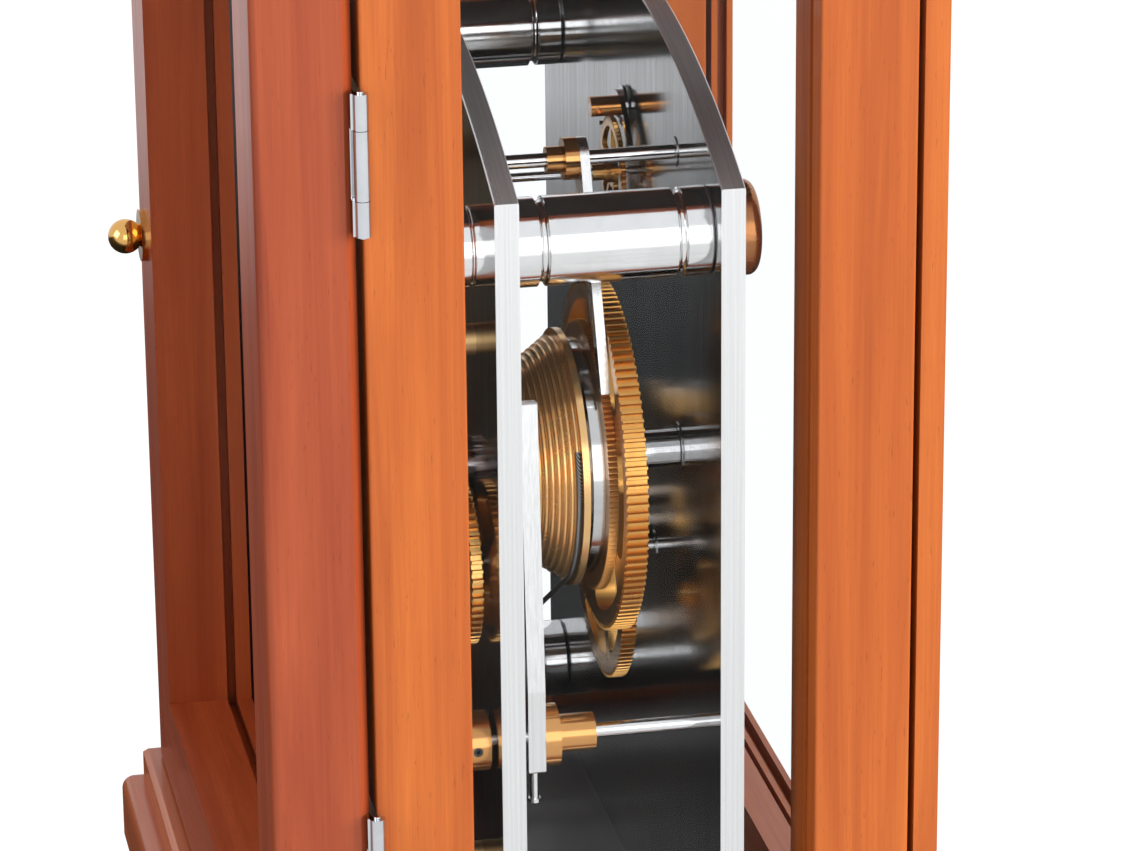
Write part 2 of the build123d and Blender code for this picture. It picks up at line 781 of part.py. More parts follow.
with BuildPart() as front_plate:
    arched_plate(plate_half_width, seat_top, shoulder_z, plate_arch_rise, plate_front_y, plate_back_y)
    chamfer(front_plate.edges().filter_by(GeomType.CIRCLE), plate_easing)
    pivot_holes(front_bearings, plate_front_y, plate_back_y)
    for place in pillar_places:
        rod(place, plate_front_y, plate_back_y, pillar_spigot_radius + spigot_clearance, Mode.SUBTRACT)
    rod(barrel_axis, plate_front_y, plate_back_y, barrel_pivot_radius + spigot_clearance, Mode.SUBTRACT)
    rod(indicator, plate_front_y, plate_front_y + 2.5, indicator_arbor_radius + pivot_clearance, Mode.SUBTRACT)
    rod(minute_axis, depth(motion_front) - 3.8, plate_front_y, stud_radius)
    rod(reserve, depth(motion_front) - 4.2, plate_front_y, fine_stud_radius)
    rod(third, plate_back_y, depth(third_front + third_thickness + 1.6), third_stud_radius)
finish(front_plate, "front_plate")

with BuildPart() as back_plate:
    arched_plate(plate_half_width, seat_top, shoulder_z, plate_arch_rise, rear_plate_front, rear_plate_back)
    chamfer(back_plate.edges().filter_by(GeomType.CIRCLE), plate_easing)
    for axis in (fusee, second, centre, detent):
        rod(axis, rear_plate_front - bushing_line, rear_plate_front, bushing_radius * (1 if axis == fusee else 0.6))
    pivot_holes(rear_bearings, rear_plate_front - bushing_line, rear_plate_back)
    for place in pillar_places:
        rod(place, rear_plate_front, rear_plate_back, pillar_spigot_radius + spigot_clearance, Mode.SUBTRACT)
    rod(barrel_axis, rear_plate_front, rear_plate_back, barrel_pivot_radius + spigot_clearance, Mode.SUBTRACT)
finish(back_plate, "back_plate")

with BuildPart() as plate_pillars:
    for place in pillar_places:
        rod(place, plate_back_y, rear_plate_front, pillar_radius)
        rod(place, plate_front_y - pillar_spigot_reach, plate_back_y, pillar_spigot_radius)
        rod(place, rear_plate_front, rear_plate_back + pillar_spigot_reach, pillar_spigot_radius)
        for groove in (plate_back_y + pillar_groove_inset, rear_plate_front - pillar_groove_inset):
            with Locations(Location((place[0], groove, place[1]), (90, 0, 0))):
                Torus(pillar_radius, pillar_groove_radius, mode=Mode.SUBTRACT)
    rims = plate_pillars.edges().filter_by(GeomType.CIRCLE)
    fillet(rims.filter_by(lambda edge: abs(edge.radius - pillar_radius) < 0.001
                          and (abs(edge.center().Y - plate_back_y) < 0.001
                               or abs(edge.center().Y - rear_plate_front) < 0.001)), 0.5)
finish(plate_pillars, "plate_pillars")

with BuildPart() as pillar_nuts:
    for place in pillar_places:
        rod(place, rear_plate_back, rear_plate_back + rear_nut_thickness, rear_nut_radius)
    fillet(pillar_nuts.edges().group_by(Axis.Y)[-1], rear_nut_rounding)
    for place in pillar_places:
        rod(place, rear_plate_back, rear_plate_back + pillar_spigot_reach + 0.2,
            pillar_spigot_radius + spigot_clearance, Mode.SUBTRACT)
finish(pillar_nuts, "pillar_nuts")

with BuildPart() as front_nuts:
    front_nut_y = plate_front_y - front_nut_thickness
    for place in pillar_places:
        rod(place, front_nut_y, plate_front_y, front_nut_radius)
    fillet(front_nuts.edges().group_by(Axis.Y)[0], front_nut_rounding)
    for place in pillar_places:
        rod(place, plate_front_y - pillar_spigot_reach - 0.2, plate_front_y,
            pillar_spigot_radius + spigot_clearance, Mode.SUBTRACT)
        with Locations(Location((place[0], plate_front_y - 3.0, place[1]), (90, 0, 0))):
            Torus(front_nut_radius, 0.5, mode=Mode.SUBTRACT)
finish(front_nuts, "front_nuts")

# ---------------------------------------------------------------- movement: fusee group
arbor_front = plate_back_y + end_shake
arbor_back = rear_plate_front - bushing_line - end_shake


def fusee_surface(offset):
    """Radius of the fusee's ridges at a depth behind the front plate's face."""
    ahead = groove_y - depth(offset)
    return fusee_large_radius - fusee_slope * ahead + fusee_curve * ahead ** 2


def turning(axis):
    """A drawing plane through an axis: its first direction is to the back, its second is up."""
    return Plane(origin=(axis[0], 0, axis[1]), x_dir=(0, 1, 0), z_dir=(1, 0, 0))


def line_along(axis):
    return Axis((axis[0], 0, axis[1]), (0, 1, 0))


with BuildPart() as fusee_cone:
    groove_offset = groove_y - plate_front_y
    bore = fusee_arbor_radius + bore_clearance
    slot_wall = groove_offset - cable_radius - cable_clearance
    ridge_points = [(flange_rear, bore), (flange_rear, flange_radius), (flange_rear - flange_thickness, flange_radius),
                    (flange_rear - flange_thickness, cable_path_radius), (slot_wall, cable_path_radius),
                    (slot_wall, fusee_surface(slot_wall))]
    for turn in range(1, fusee_groove_count):
        middle = groove_offset - turn * fusee_groove_pitch
        for step, share in ((0.5, 0.0), (0.28, 0.75), (0.0, 1.0), (-0.28, 0.75), (-0.5, 0.0)):
            spot = middle + step * fusee_groove_pitch * fusee_groove_share
            ridge_points.append((spot, fusee_surface(spot) - fusee_groove_depth * share))
    ridge_points += [(fusee_front, fusee_surface(fusee_front)), (fusee_front, bore)]
    with BuildSketch(turning(fusee)) as fusee_profile:
        with BuildLine():
            Polyline(*[(depth(spot), radius) for spot, radius in ridge_points], close=True)
        make_face()
    revolve(fusee_profile.sketch, axis=line_along(fusee))
    with Locations(Location((fusee[0], groove_y, fusee[1]), (90, 0, 0))):
        Torus(cable_path_radius, cable_radius + cable_clearance, mode=Mode.SUBTRACT)
finish(fusee_cone, "fusee_cone")

with BuildPart() as fusee_arbor:
    rod(fusee, arbor_front, arbor_back, fusee_arbor_radius)
    rod(fusee, plate_front_y - 0.3, arbor_front, fusee_front_radius)
    rod(fusee, arbor_back, rear_plate_back - 0.4, fusee_pivot_radius)
    solid_of(toothed(reserve_leaves, 0, pinion_flank(reserve_leaves, motion_module)), fusee,
             depth(motion_front), depth(motion_front + motion_thickness))
    rod(fusee, depth(motion_front + motion_thickness), plate_front_y - 0.3, fusee_front_radius)
    rod(fusee, depth(-dial_distance + 4), depth(motion_front), fusee_front_radius)
    square_end = depth(-winding_square_end)
    with BuildSketch(across(fusee[0], square_end, fusee[1])) as winding_end:
        Rectangle(winding_square, winding_square)
    extrude(winding_end.sketch, amount=square_end - depth(-dial_distance + 4))
finish(fusee_arbor, "fusee_arbor")

with BuildPart() as fusee_drum:
    drum_back = drum_front + drum_thickness
    rod(fusee, depth(drum_front), depth(drum_back), drum_radius)
    rod(fusee, depth(drum_back), depth(drum_back + drum_lip_thickness), drum_lip_radius)
    rod(fusee, depth(flange_rear), depth(drum_front), drum_hub_radius)
    rod(fusee, depth(flange_rear), depth(drum_back + drum_lip_thickness), bore, Mode.SUBTRACT)
finish(fusee_drum, "fusee_drum")

with BuildPart() as maintaining_ratchet:
    solid_of(saw_toothed(ratchet_teeth, ratchet_radius, ratchet_tooth_depth, 1), fusee,
             depth(ratchet_front), depth(ratchet_front + ratchet_thickness))
    rod(fusee, depth(ratchet_front), depth(ratchet_front + ratchet_thickness), bore, Mode.SUBTRACT)
finish(maintaining_ratchet, "maintaining_ratchet")

great_front_y = depth(great_front)
great_back_y = depth(great_front + great_thickness)
great_phase = 0.0
second_pinion_phase = mesh_phase(great_phase, great_teeth, pinion_leaves, direction_from(fusee, second))
with BuildPart() as great_wheel:
    solid_of(toothed(great_teeth, great_phase, wheel_flank(great_teeth, great_module, pinion_leaves)), fusee,
             great_front_y, great_back_y)
    windows(fusee, great_front_y, great_back_y, great_hub_radius, great_radius - great_rim + 0.6,
            great_spokes, great_spoke_width, great_spoke_phase, great_window_rounding)
    with BuildSketch(across(fusee[0], great_front_y, fusee[1])) as recess:
        Circle(spring_outer_radius + 0.3)
        Circle(spring_outer_radius - spring_width - 0.3, mode=Mode.SUBTRACT)
    extrude(recess.sketch, amount=-spring_recess_depth, mode=Mode.SUBTRACT)
    rod(fusee, great_front_y, great_back_y, bore, Mode.SUBTRACT)
finish(great_wheel, "great_wheel")

with BuildPart() as maintaining_spring:
    with BuildSketch(across(fusee[0], great_front_y, fusee[1])) as spring_ring:
        Circle(spring_outer_radius)
        Circle(spring_outer_radius - spring_width, mode=Mode.SUBTRACT)
        with Locations((spring_outer_radius, 0)):
            Rectangle(spring_outer_radius, 2 * spring_outer_radius * sin(radians(spring_opening / 2)),
                      mode=Mode.SUBTRACT)
    extrude(spring_ring.sketch, amount=-spring_recess_depth)
finish(maintaining_spring, "maintaining_spring")


# ---------------------------------------------------------------- movement: going train
def train_arbor(axis, radius, front_radius, back_radius):
    """An arbor between the plates, with its two pivots."""
    rod(axis, arbor_front, arbor_back, radius)
    rod(axis, plate_front_y + 0.4, arbor_front, front_radius)
    rod(axis, arbor_back, rear_plate_back - 0.4, back_radius)


def crossed_wheel(axis, front, thickness, teeth, module, mate, rim, spoke, spoke_phase, phase):
    """A toothed wheel with spokes and a round hub."""
    front_y = depth(front)
    back_y = depth(front + thickness)
    solid_of(toothed(teeth, phase, wheel_flank(teeth, module, mate)), axis, front_y, back_y)
    windows(axis, front_y, back_y, 5.5, teeth * module / 2 - rim, train_spokes, spoke, spoke_phase, 1.2)


with BuildPart() as second_wheel:
    crossed_wheel(second, second_front, second_thickness, second_teeth, second_module, pinion_leaves,
                  second_rim, second_spoke_width, second_spoke_phase, 0.0)
    solid_of(toothed(pinion_leaves, second_pinion_phase, pinion_flank(pinion_leaves, great_module)), second,
             great_front_y - 0.6, depth(second_front - 0.8))
    rod(second, depth(second_front - 0.8), depth(second_front + second_thickness + 0.8), 3.0)
    train_arbor(second, arbor_radius, pivot_radius, pivot_radius)
finish(second_wheel, "second_wheel")

centre_pinion_phase = mesh_phase(0.0, second_teeth, pinion_leaves, direction_from(second, centre))
with BuildPart() as centre_wheel:
    crossed_wheel(centre, centre_front, centre_thickness, centre_teeth, centre_module, pinion_leaves,
                  train_rim, train_spoke_width, 90.0, 0.0)
    solid_of(toothed(pinion_leaves, centre_pinion_phase, pinion_flank(pinion_leaves, second_module)), centre,
             depth(second_front - 0.4), depth(second_front + second_thickness + 0.6))
    rod(centre, depth(centre_front - 0.6), depth(centre_front + centre_thickness + 1.0), 3.0)
    train_arbor(centre, centre_arbor_radius, centre_arbor_radius, pivot_radius)
    rod(centre, minute_hand_back - hand_thickness - 0.6, plate_front_y + 1, centre_arbor_radius)
finish(centre_wheel, "centre_wheel")

third_pinion_phase = mesh_phase(0.0, centre_teeth, pinion_leaves, direction_from(centre, third))
with BuildPart() as third_wheel:
    crossed_wheel(third, third_front, third_thickness, third_teeth, third_module, pinion_leaves,
                  train_rim, train_spoke_width, 90.0, 0.0)
    solid_of(toothed(pinion_leaves, third_pinion_phase, pinion_flank(pinion_leaves, centre_module)), third,
             depth(centre_front - 0.4), depth(third_front))
    rod(third, depth(third_front), depth(third_front + third_thickness + 1.2), 2.8)
    rod(third, depth(centre_front - 0.4), depth(third_front + third_thickness + 1.2),
        third_stud_radius + stud_clearance, Mode.SUBTRACT)
finish(third_wheel, "third_wheel")

escape_pinion_phase = mesh_phase(0.0, third_teeth, pinion_leaves, direction_from(third, escape))
escape_front_y = depth(escape_front)
escape_back_y = depth(escape_front + escape_thickness)
with BuildPart() as escape_wheel:
    solid_of(saw_toothed(escape_teeth, escape_radius, escape_tooth_depth, -1), escape,
             escape_front_y, escape_back_y)
    windows(escape, escape_front_y, escape_back_y, 3.4, escape_radius - escape_tooth_depth - 1.2,
            train_spokes, escape_spoke_width, 90.0, 0.5)
    solid_of(toothed(pinion_leaves, escape_pinion_phase, pinion_flank(pinion_leaves, third_module)), escape,
             depth(third_front - 0.6), depth(third_front + third_thickness + 0.6))
    rod(escape, arbor_front, arbor_back, escape_arbor_radius)
    rod(escape, plate_front_y + 0.4, arbor_front, escape_pivot_radius)
    rod(escape, arbor_back, rear_plate_back - 0.4, escape_pivot_radius)
    rod(escape, escape_front_y - escape_collet_length, escape_front_y, escape_collet_small_radius)
    rod(escape, escape_front_y - escape_collet_step, escape_front_y, escape_collet_radius)
finish(escape_wheel, "escape_wheel")

# ---------------------------------------------------------------- movement: pallets, pendulum and back cock
hub_back_y = depth(44.6)
anchor_front_y = depth(43.15)
pallet_bore = pallet_arbor_radius + 0.02
cock_back_y = rear_plate_back + cock_reach
with BuildPart() as pallet_arbor:
    hub_front_y = hub_back_y - pallet_hub_length
    rod(pallet, hub_front_y + 1.0, cock_back_y - 0.4, pallet_arbor_radius)
    with BuildSketch(across(pallet[0], hub_front_y, pallet[1])) as hub_section:
        Circle(pallet_hub_radius)
        with Locations((0, -pallet_hub_flat - pallet_hub_radius)):
            Rectangle(3 * pallet_hub_radius, 2 * pallet_hub_radius, mode=Mode.SUBTRACT)
    extrude(hub_section.sketch, amount=hub_front_y - anchor_front_y)
    with Locations(Location((pallet[0] + pallet_hub_radius, hub_front_y + 1.5, pallet[1]), (0, 90, 0))):
        Cylinder(pallet_hub_hole, pallet_hub_radius, mode=Mode.SUBTRACT)
    rod(pallet, anchor_front_y + anchor_thickness, depth(44.85), pallet_disc_radius)
finish(pallet_arbor, "pallet_arbor")

with BuildPart() as anchor:
    nib_distance = escape_radius + pallet_clearance + pallet_width / 2
    nib_x = nib_distance * sin(radians(pallet_span_angle))
    nib_z = nib_distance * cos(radians(pallet_span_angle)) - (pallet[1] - escape[1])
    arm_points = [(0, 3.3), (2.6, 2.9), (8.2, -1.0), (nib_x + 0.9, nib_z + 1.6), (nib_x + 0.9, nib_z - 0.5),
                  (nib_x - 0.5, nib_z - 0.5), (nib_x - 1.5, nib_z + 2.4), (5.4, -1.6), (0, -2.3)]
    mirrored = [(-x, z) for x, z in reversed(arm_points[1:-1])]
    solid_of(arm_points + mirrored, pallet, anchor_front_y, anchor_front_y + anchor_thickness)
    rod(pallet, anchor_front_y, anchor_front_y + anchor_thickness, pallet_bore, Mode.SUBTRACT)
    for side in (1, -1):
        nib = (side * nib_x, pallet[1] + nib_z)
        rod(nib, escape_front_y - 0.2, anchor_front_y, pallet_width / 2)
finish(anchor, "anchor")

with BuildPart() as pendulum_rod:
    bob_z = pallet[1] - pendulum_length
    rod(pallet, pendulum_y - pendulum_collet_length / 2, pendulum_y + pendulum_collet_length / 2,
        pendulum_collet_radius)
    rod_bottom = bob_z - pendulum_rod_tail
    with Locations((0, pendulum_y, (pallet[1] + rod_bottom) / 2)):
        Cylinder(pendulum_rod_radius, pallet[1] - rod_bottom)
    nut_z = bob_z - bob_radius - 0.02 - rating_nut_height / 2
    with Locations((0, pendulum_y, nut_z)):
        Cylinder(rating_nut_radius, rating_nut_height)
    rod(pallet, pendulum_y - pendulum_collet_length, pendulum_y + pendulum_collet_length,
        pallet_bore, Mode.SUBTRACT)
finish(pendulum_rod, "pendulum_rod")

with BuildPart() as pendulum_bob:
    bob_axis = (0, bob_z)
    rod(bob_axis, pendulum_y - bob_half_thickness, pendulum_y + bob_half_thickness, bob_radius)
    fillet(pendulum_bob.edges().filter_by(GeomType.CIRCLE), bob_rounding)
    with Locations((0, pendulum_y, bob_z)):
        Cylinder(pendulum_rod_radius + 0.02, 3 * bob_radius, mode=Mode.SUBTRACT)
finish(pendulum_bob, "pendulum_bob")

with BuildPart() as back_cock:
    cock_front_y = cock_back_y - cock_thickness
    bar_low = pallet[1] - cock_bar_length
    block((-cock_bar_half_width, cock_bar_half_width), (cock_front_y, cock_back_y),
          (bar_low, pallet[1] + cock_bar_above))
    block((-cock_leg_x, cock_leg_x), (cock_front_y, cock_back_y), (bar_low - cock_foot_height, bar_low))
    for side in (1, -1):
        block((side * (cock_leg_x - cock_leg_width), side * cock_leg_x),
              (rear_plate_back, cock_front_y), (bar_low - cock_foot_height, bar_low))
    rod(pallet, cock_front_y, cock_back_y, pallet_arbor_radius + pivot_clearance, Mode.SUBTRACT)
finish(back_cock, "back_cock")

# ---------------------------------------------------------------- movement: maintaining detent
detent_bore = detent_arbor_radius + 0.02
with BuildPart() as detent_arbor:
    train_arbor(detent, detent_arbor_radius, detent_pivot_radius, detent_pivot_radius)
finish(detent_arbor, "detent_arbor")

with BuildPart() as detent_collet:
    hub_end = detent_hub_front + detent_hub_length
    rod(detent, depth(detent_hub_front), depth(hub_end), detent_hub_radius)
    rod(detent, depth(hub_end), depth(detent_lever_front), detent_flange_radius)
    rod(detent, depth(detent_hub_front), depth(detent_lever_front), detent_bore, Mode.SUBTRACT)
finish(detent_collet, "detent_collet")

with BuildPart() as detent_lever:
    tip = (detent_tip_x - detent[0], -(detent_tip_drop - detent_drop))
    tip_length = hypot(*tip)
    along = (tip[0] / tip_length, tip[1] / tip_length)
    aside = (-along[1], along[0])
    lever_half = detent_lever_width / 2
    heel = [(aside[0] * detent_flange_radius * side, aside[1] * detent_flange_radius * side) for side in (1, -1)]
    tail = [(tip[0], tip[1]), (tip[0] - aside[0] * lever_half, tip[1] - aside[1] * lever_half)]
    solid_of([heel[0], tail[0], tail[1], heel[1]], detent, depth(detent_lever_front),
             depth(detent_lever_front + detent_lever_thickness))
    rod(detent, depth(detent_lever_front), depth(detent_lever_front + detent_lever_thickness),
        detent_flange_radius)
    rod(fusee, depth(detent_lever_front) - 1, depth(detent_lever_front + detent_lever_thickness) + 1,
        ratchet_radius + detent_nose_clearance, Mode.SUBTRACT)
    rod(detent, depth(detent_lever_front), depth(detent_lever_front + detent_lever_thickness),
        detent_bore, Mode.SUBTRACT)
finish(detent_lever, "detent_lever")

# ---------------------------------------------------------------- movement: stop work
stop_bore = stop_arbor_radius + 0.02
lever_front_y = depth(stop_lever_front)
lever_back_y = depth(stop_lever_front + stop_lever_thickness)
with BuildPart() as stop_arbor:
    rod(stop, depth(stop_collar_front + 0.6), rear_plate_back - 0.4, stop_arbor_radius)
finish(stop_arbor, "stop_arbor")

with BuildPart() as stop_hub:
    flange_end = lever_back_y + stop_flange_length
    rod(stop, lever_back_y, flange_end, stop_flange_radius)
    rod(stop, flange_end, flange_end + stop_hub_length, stop_hub_radius)
    rod(stop, lever_back_y, flange_end + stop_hub_length, stop_bore, Mode.SUBTRACT)
finish(stop_hub, "stop_hub")

with BuildPart() as stop_lever:
    lever_outline = [(stop_lever_top_inner + 2.2, stop_lever_top - 1.0), (stop_lever_top_outer + 3.2, stop_lever_top),
                     (stop_lever_bottom_outer + 2.2, 12.0), (stop_lever_bottom_outer + 2.2, -stop_lever_bottom),
                     (stop_lever_bottom_inner, -stop_lever_bottom), (stop_lever_bottom_inner, 12.0)]
    solid_of(lever_outline, stop, lever_front_y, lever_back_y)
    chamfer(stop_lever.edges().filter_by(Axis.Y), 0.4)
    pin_axis = (stop[0] + 2.2, (lever_front_y + lever_back_y) / 2)
    pin_top = stop[1] - stop_lever_bottom
    with Locations((pin_axis[0], pin_axis[1], pin_top - stop_pin_length / 2)):
        Cylinder(stop_pin_radius, stop_pin_length)
    with Locations((pin_axis[0], pin_axis[1], pin_top - stop_pin_length - stop_pin_foot / 2)):
        Cylinder(stop_pin_foot_radius, stop_pin_foot)
    rod(stop, lever_front_y, lever_back_y, stop_bore, Mode.SUBTRACT)
finish(stop_lever, "stop_lever")

with BuildPart() as stop_collar:
    rod(stop, depth(stop_collar_front), depth(stop_collar_back), stop_collar_radius)
    fillet(stop_collar.edges().group_by(Axis.Y)[0], 0.5)
    rod(stop, depth(stop_collar_front), depth(stop_collar_back), stop_bore, Mode.SUBTRACT)
    with Locations(Location((stop[0] + stop_collar_radius, depth(-3.5), stop[1]), (0, 90, 0))):
        Cylinder(grub_radius, 2 * grub_depth, mode=Mode.SUBTRACT)
finish(stop_collar, "stop_collar")

# ---------------------------------------------------------------- movement: barrel, mainspring and cable
barrel_front_y = depth(barrel_front)
barrel_back_y = depth(barrel_front + barrel_length)
with BuildPart() as barrel:
    rod(barrel_axis, barrel_front_y, barrel_back_y, barrel_radius)
    rod(barrel_axis, barrel_front_y, barrel_front_y + barrel_flange_thickness, barrel_flange_radius)
    rod(barrel_axis, barrel_back_y - barrel_flange_thickness, barrel_back_y, barrel_flange_radius)
    rod(barrel_axis, barrel_front_y + barrel_wall, barrel_back_y - barrel_wall, barrel_radius - barrel_wall,
        Mode.SUBTRACT)
    rod(barrel_axis, barrel_front_y, barrel_back_y, barrel_arbor_radius + bore_clearance, Mode.SUBTRACT)
finish(barrel, "barrel")

with BuildPart() as barrel_arbor:
    rod(barrel_axis, plate_back_y, rear_plate_front, barrel_arbor_radius)
    rod(barrel_axis, plate_front_y - barrel_ratchet_thickness - 3, plate_back_y, barrel_pivot_radius)
    rod(barrel_axis, rear_plate_front, rear_plate_back, barrel_pivot_radius)
finish(barrel_arbor, "barrel_arbor")

with BuildPart() as barrel_ratchet:
    solid_of(saw_toothed(barrel_ratchet_teeth, barrel_ratchet_radius, 0.8, 1), barrel_axis,
             plate_front_y - barrel_ratchet_thickness, plate_front_y)
    rod(barrel_axis, plate_front_y - barrel_ratchet_thickness, plate_front_y,
        barrel_pivot_radius + spigot_clearance, Mode.SUBTRACT)
finish(barrel_ratchet, "barrel_ratchet")

with BuildPart() as mainspring:
    spiral_steps = 20 * mainspring_turns
    inner_side = []
    outer_side = []
    for step in range(spiral_steps + 1):
        angle = 2 * pi * step / 20
        radius = mainspring_inner + mainspring_pitch * step / 20
        inner_side.append((radius * cos(angle), radius * sin(angle)))
        outer_radius = radius + mainspring_strip
        outer_side.append((outer_radius * cos(angle), outer_radius * sin(angle)))
    solid_of(inner_side + outer_side[::-1], barrel_axis, barrel_front_y + barrel_wall + mainspring_margin,
             barrel_back_y - barrel_wall - mainspring_margin)
finish(mainspring, "mainspring")


def round_section(axis, angle, radius, section_radius):
    """Draws a cable's section in the half plane at an angle round an axis."""
    way = radians(angle)
    place = Plane(origin=(axis[0], 0, axis[1]), x_dir=(0, 1, 0), z_dir=(sin(way), 0, -cos(way)))
    with BuildSketch(place) as section:
        with Locations((groove_y, radius)):
            Circle(section_radius)
    return section.sketch


with BuildPart() as fusee_cable:
    spread = barrel_cable_radius - cable_path_radius
    span = hypot(barrel_axis[0] - fusee[0], barrel_axis[1] - fusee[1])
    lean = degrees(atan2(spread, sqrt(span ** 2 - spread ** 2)))
    tangent_angle = direction_from(fusee, barrel_axis) + 90 + lean
    leaving = turned_by(fusee, cable_path_radius, tangent_angle)
    arriving = turned_by(barrel_axis, barrel_cable_radius, tangent_angle)
    fusee_section = round_section(fusee, cable_start_angle, cable_path_radius, cable_radius)
    revolve(fusee_section, axis=line_along(fusee), revolution_arc=cable_start_angle - tangent_angle)
    straight = Plane(origin=(leaving[0], groove_y, leaving[1]), x_dir=(0, 1, 0),
                     z_dir=(arriving[0] - leaving[0], 0, arriving[1] - leaving[1]))
    with BuildSketch(straight) as straight_section:
        Circle(cable_radius)
    extrude(straight_section.sketch, amount=hypot(arriving[0] - leaving[0], arriving[1] - leaving[1]))
    barrel_section = round_section(barrel_axis, tangent_angle, barrel_cable_radius, cable_radius)
    revolve(barrel_section, axis=line_along(barrel_axis), revolution_arc=cable_barrel_wrap)
    for turn in range(1, cable_turns + 1):
        with Locations(Location((barrel_axis[0], groove_y - turn * cable_pitch, barrel_axis[1]), (90, 0, 0))):
            Torus(barrel_cable_radius, cable_radius)
finish(fusee_cable, "fusee_cable")

# ---------------------------------------------------------------- motion work and reserve work
motion_front_y = depth(motion_front)
motion_back_y = depth(motion_front + motion_thickness)
hour_front_y = depth(hour_wheel_front)
hour_back_y = depth(hour_wheel_front + hour_wheel_thickness)
with BuildPart() as cannon_pinion:
    solid_of(toothed(cannon_leaves, 0, pinion_flank(cannon_leaves, motion_module)), centre,
             motion_front_y, motion_back_y)
    rod(centre, minute_hand_back - hand_thickness, motion_front_y, cannon_pipe_outer)
    rod(centre, minute_hand_back - hand_thickness, motion_back_y, centre_arbor_radius + pivot_clearance,
        Mode.SUBTRACT)
finish(cannon_pinion, "cannon_pinion")

minute_phase = mesh_phase(0.0, cannon_leaves, minute_teeth, minute_direction)
with BuildPart() as minute_wheel:
    solid_of(toothed(minute_teeth, minute_phase, wheel_flank(minute_teeth, motion_module, cannon_leaves)),
             minute_axis, motion_front_y, motion_back_y)
    solid_of(toothed(hour_pinion_leaves, 0, pinion_flank(hour_pinion_leaves, hour_module)), minute_axis,
             hour_front_y + 0.4, motion_front_y)
    windows(minute_axis, motion_front_y, motion_back_y, 5.8, minute_radius - 2.6, 4, 2.2, 45.0, 1.0)
    rod(minute_axis, hour_front_y, motion_back_y, stud_radius + stud_clearance, Mode.SUBTRACT)
finish(minute_wheel, "minute_wheel")

hour_phase = mesh_phase(0.0, hour_pinion_leaves, hour_teeth, minute_direction + 180)
with BuildPart() as hour_wheel:
    solid_of(toothed(hour_teeth, hour_phase, wheel_flank(hour_teeth, hour_module, hour_pinion_leaves)),
             centre, hour_front_y, hour_back_y)
    rod(centre, hour_hand_back - hand_thickness, hour_front_y, hour_pipe_outer)
    rod(centre, hour_hand_back - hand_thickness, hour_back_y, hour_pipe_inner, Mode.SUBTRACT)
finish(hour_wheel, "hour_wheel")

reserve_phase = mesh_phase(0.0, reserve_leaves, reserve_teeth, reserve_direction)
indicator_front_y = depth(indicator_front)
indicator_back_y = depth(indicator_front + indicator_thickness)
with BuildPart() as reserve_wheel:
    solid_of(toothed(reserve_teeth, reserve_phase, wheel_flank(reserve_teeth, motion_module, reserve_leaves)),
             reserve, motion_front_y, motion_back_y)
    solid_of(toothed(reserve_pinion_leaves, 0, pinion_flank(reserve_pinion_leaves, motion_module)), reserve,
             indicator_front_y - 0.4, motion_front_y)
    windows(reserve, motion_front_y, motion_back_y, 4.6, reserve_teeth * motion_module / 2 - 2.6, 4, 2.2, 45.0, 1.0)
    rod(reserve, indicator_front_y - 0.4, motion_back_y, fine_stud_radius + stud_clearance, Mode.SUBTRACT)
finish(reserve_wheel, "reserve_wheel")

indicator_phase = mesh_phase(0.0, reserve_pinion_leaves, indicator_teeth, indicator_direction)
reserve_hand_back = dial_front_y - 0.3
with BuildPart() as reserve_indicator:
    solid_of(toothed(indicator_teeth, indicator_phase,
                     wheel_flank(indicator_teeth, motion_module, reserve_pinion_leaves)),
             indicator, indicator_front_y, indicator_back_y)
    rod(indicator, reserve_hand_back - 0.6, plate_front_y + 2.2, indicator_arbor_radius)
finish(reserve_indicator, "reserve_indicator")

# ---------------------------------------------------------------- dial and hands
with BuildPart() as dial_plate:
    arched_plate(dial_half_width, seat_top + dial_bottom, shoulder_z - dial_shoulder_drop, dial_arch_rise,
                 dial_front_y, dial_back_y)
    for side in (1, -1):
        for drop in (dial_upper_foot_drop, dial_lower_foot_drop):
            rod((side * dial_foot_x, shoulder_z - drop), dial_back_y, plate_front_y, dial_foot_radius)
    rod(centre, dial_front_y, dial_back_y, hour_pipe_hole, Mode.SUBTRACT)
    rod(fusee, dial_front_y, dial_back_y, winding_hole_radius, Mode.SUBTRACT)
    rod(indicator, dial_front_y, dial_back_y, indicator_arbor_radius + 0.3, Mode.SUBTRACT)
finish(dial_plate, "dial_plate")

with BuildPart() as chapter_ring:
    with BuildSketch(across(centre[0], chapter_front_y, centre[1])) as ring:
        Circle(chapter_outer)
        Circle(chapter_inner, mode=Mode.SUBTRACT)
    extrude(ring.sketch, amount=-chapter_thickness)
    chamfer(chapter_ring.edges().group_by(Axis.Y)[0], 0.3)
finish(chapter_ring, "chapter_ring")


def hand(axis, back, length, root, waist, tip_width, hub, bore_radius, direction):
    """A slender clock hand with a round boss and a leaf-shaped blade."""
    across_way = direction + 90
    blade = [(hub * 0.6, root), (length * 0.62, waist), (length * 0.74, waist * 2.4), (length * 0.82, waist * 1.2),
             (length, tip_width)]
    upper = [turned_by(turned_by((0, 0), reach, direction), width, across_way) for reach, width in blade]
    lower = [turned_by(turned_by((0, 0), reach, direction), -width, across_way) for reach, width in reversed(blade)]
    solid_of(upper + lower, axis, back - hand_thickness, back)
    rod(axis, back - hand_thickness, back, hub)
    rod(axis, back - hand_thickness, back, bore_radius, Mode.SUBTRACT)


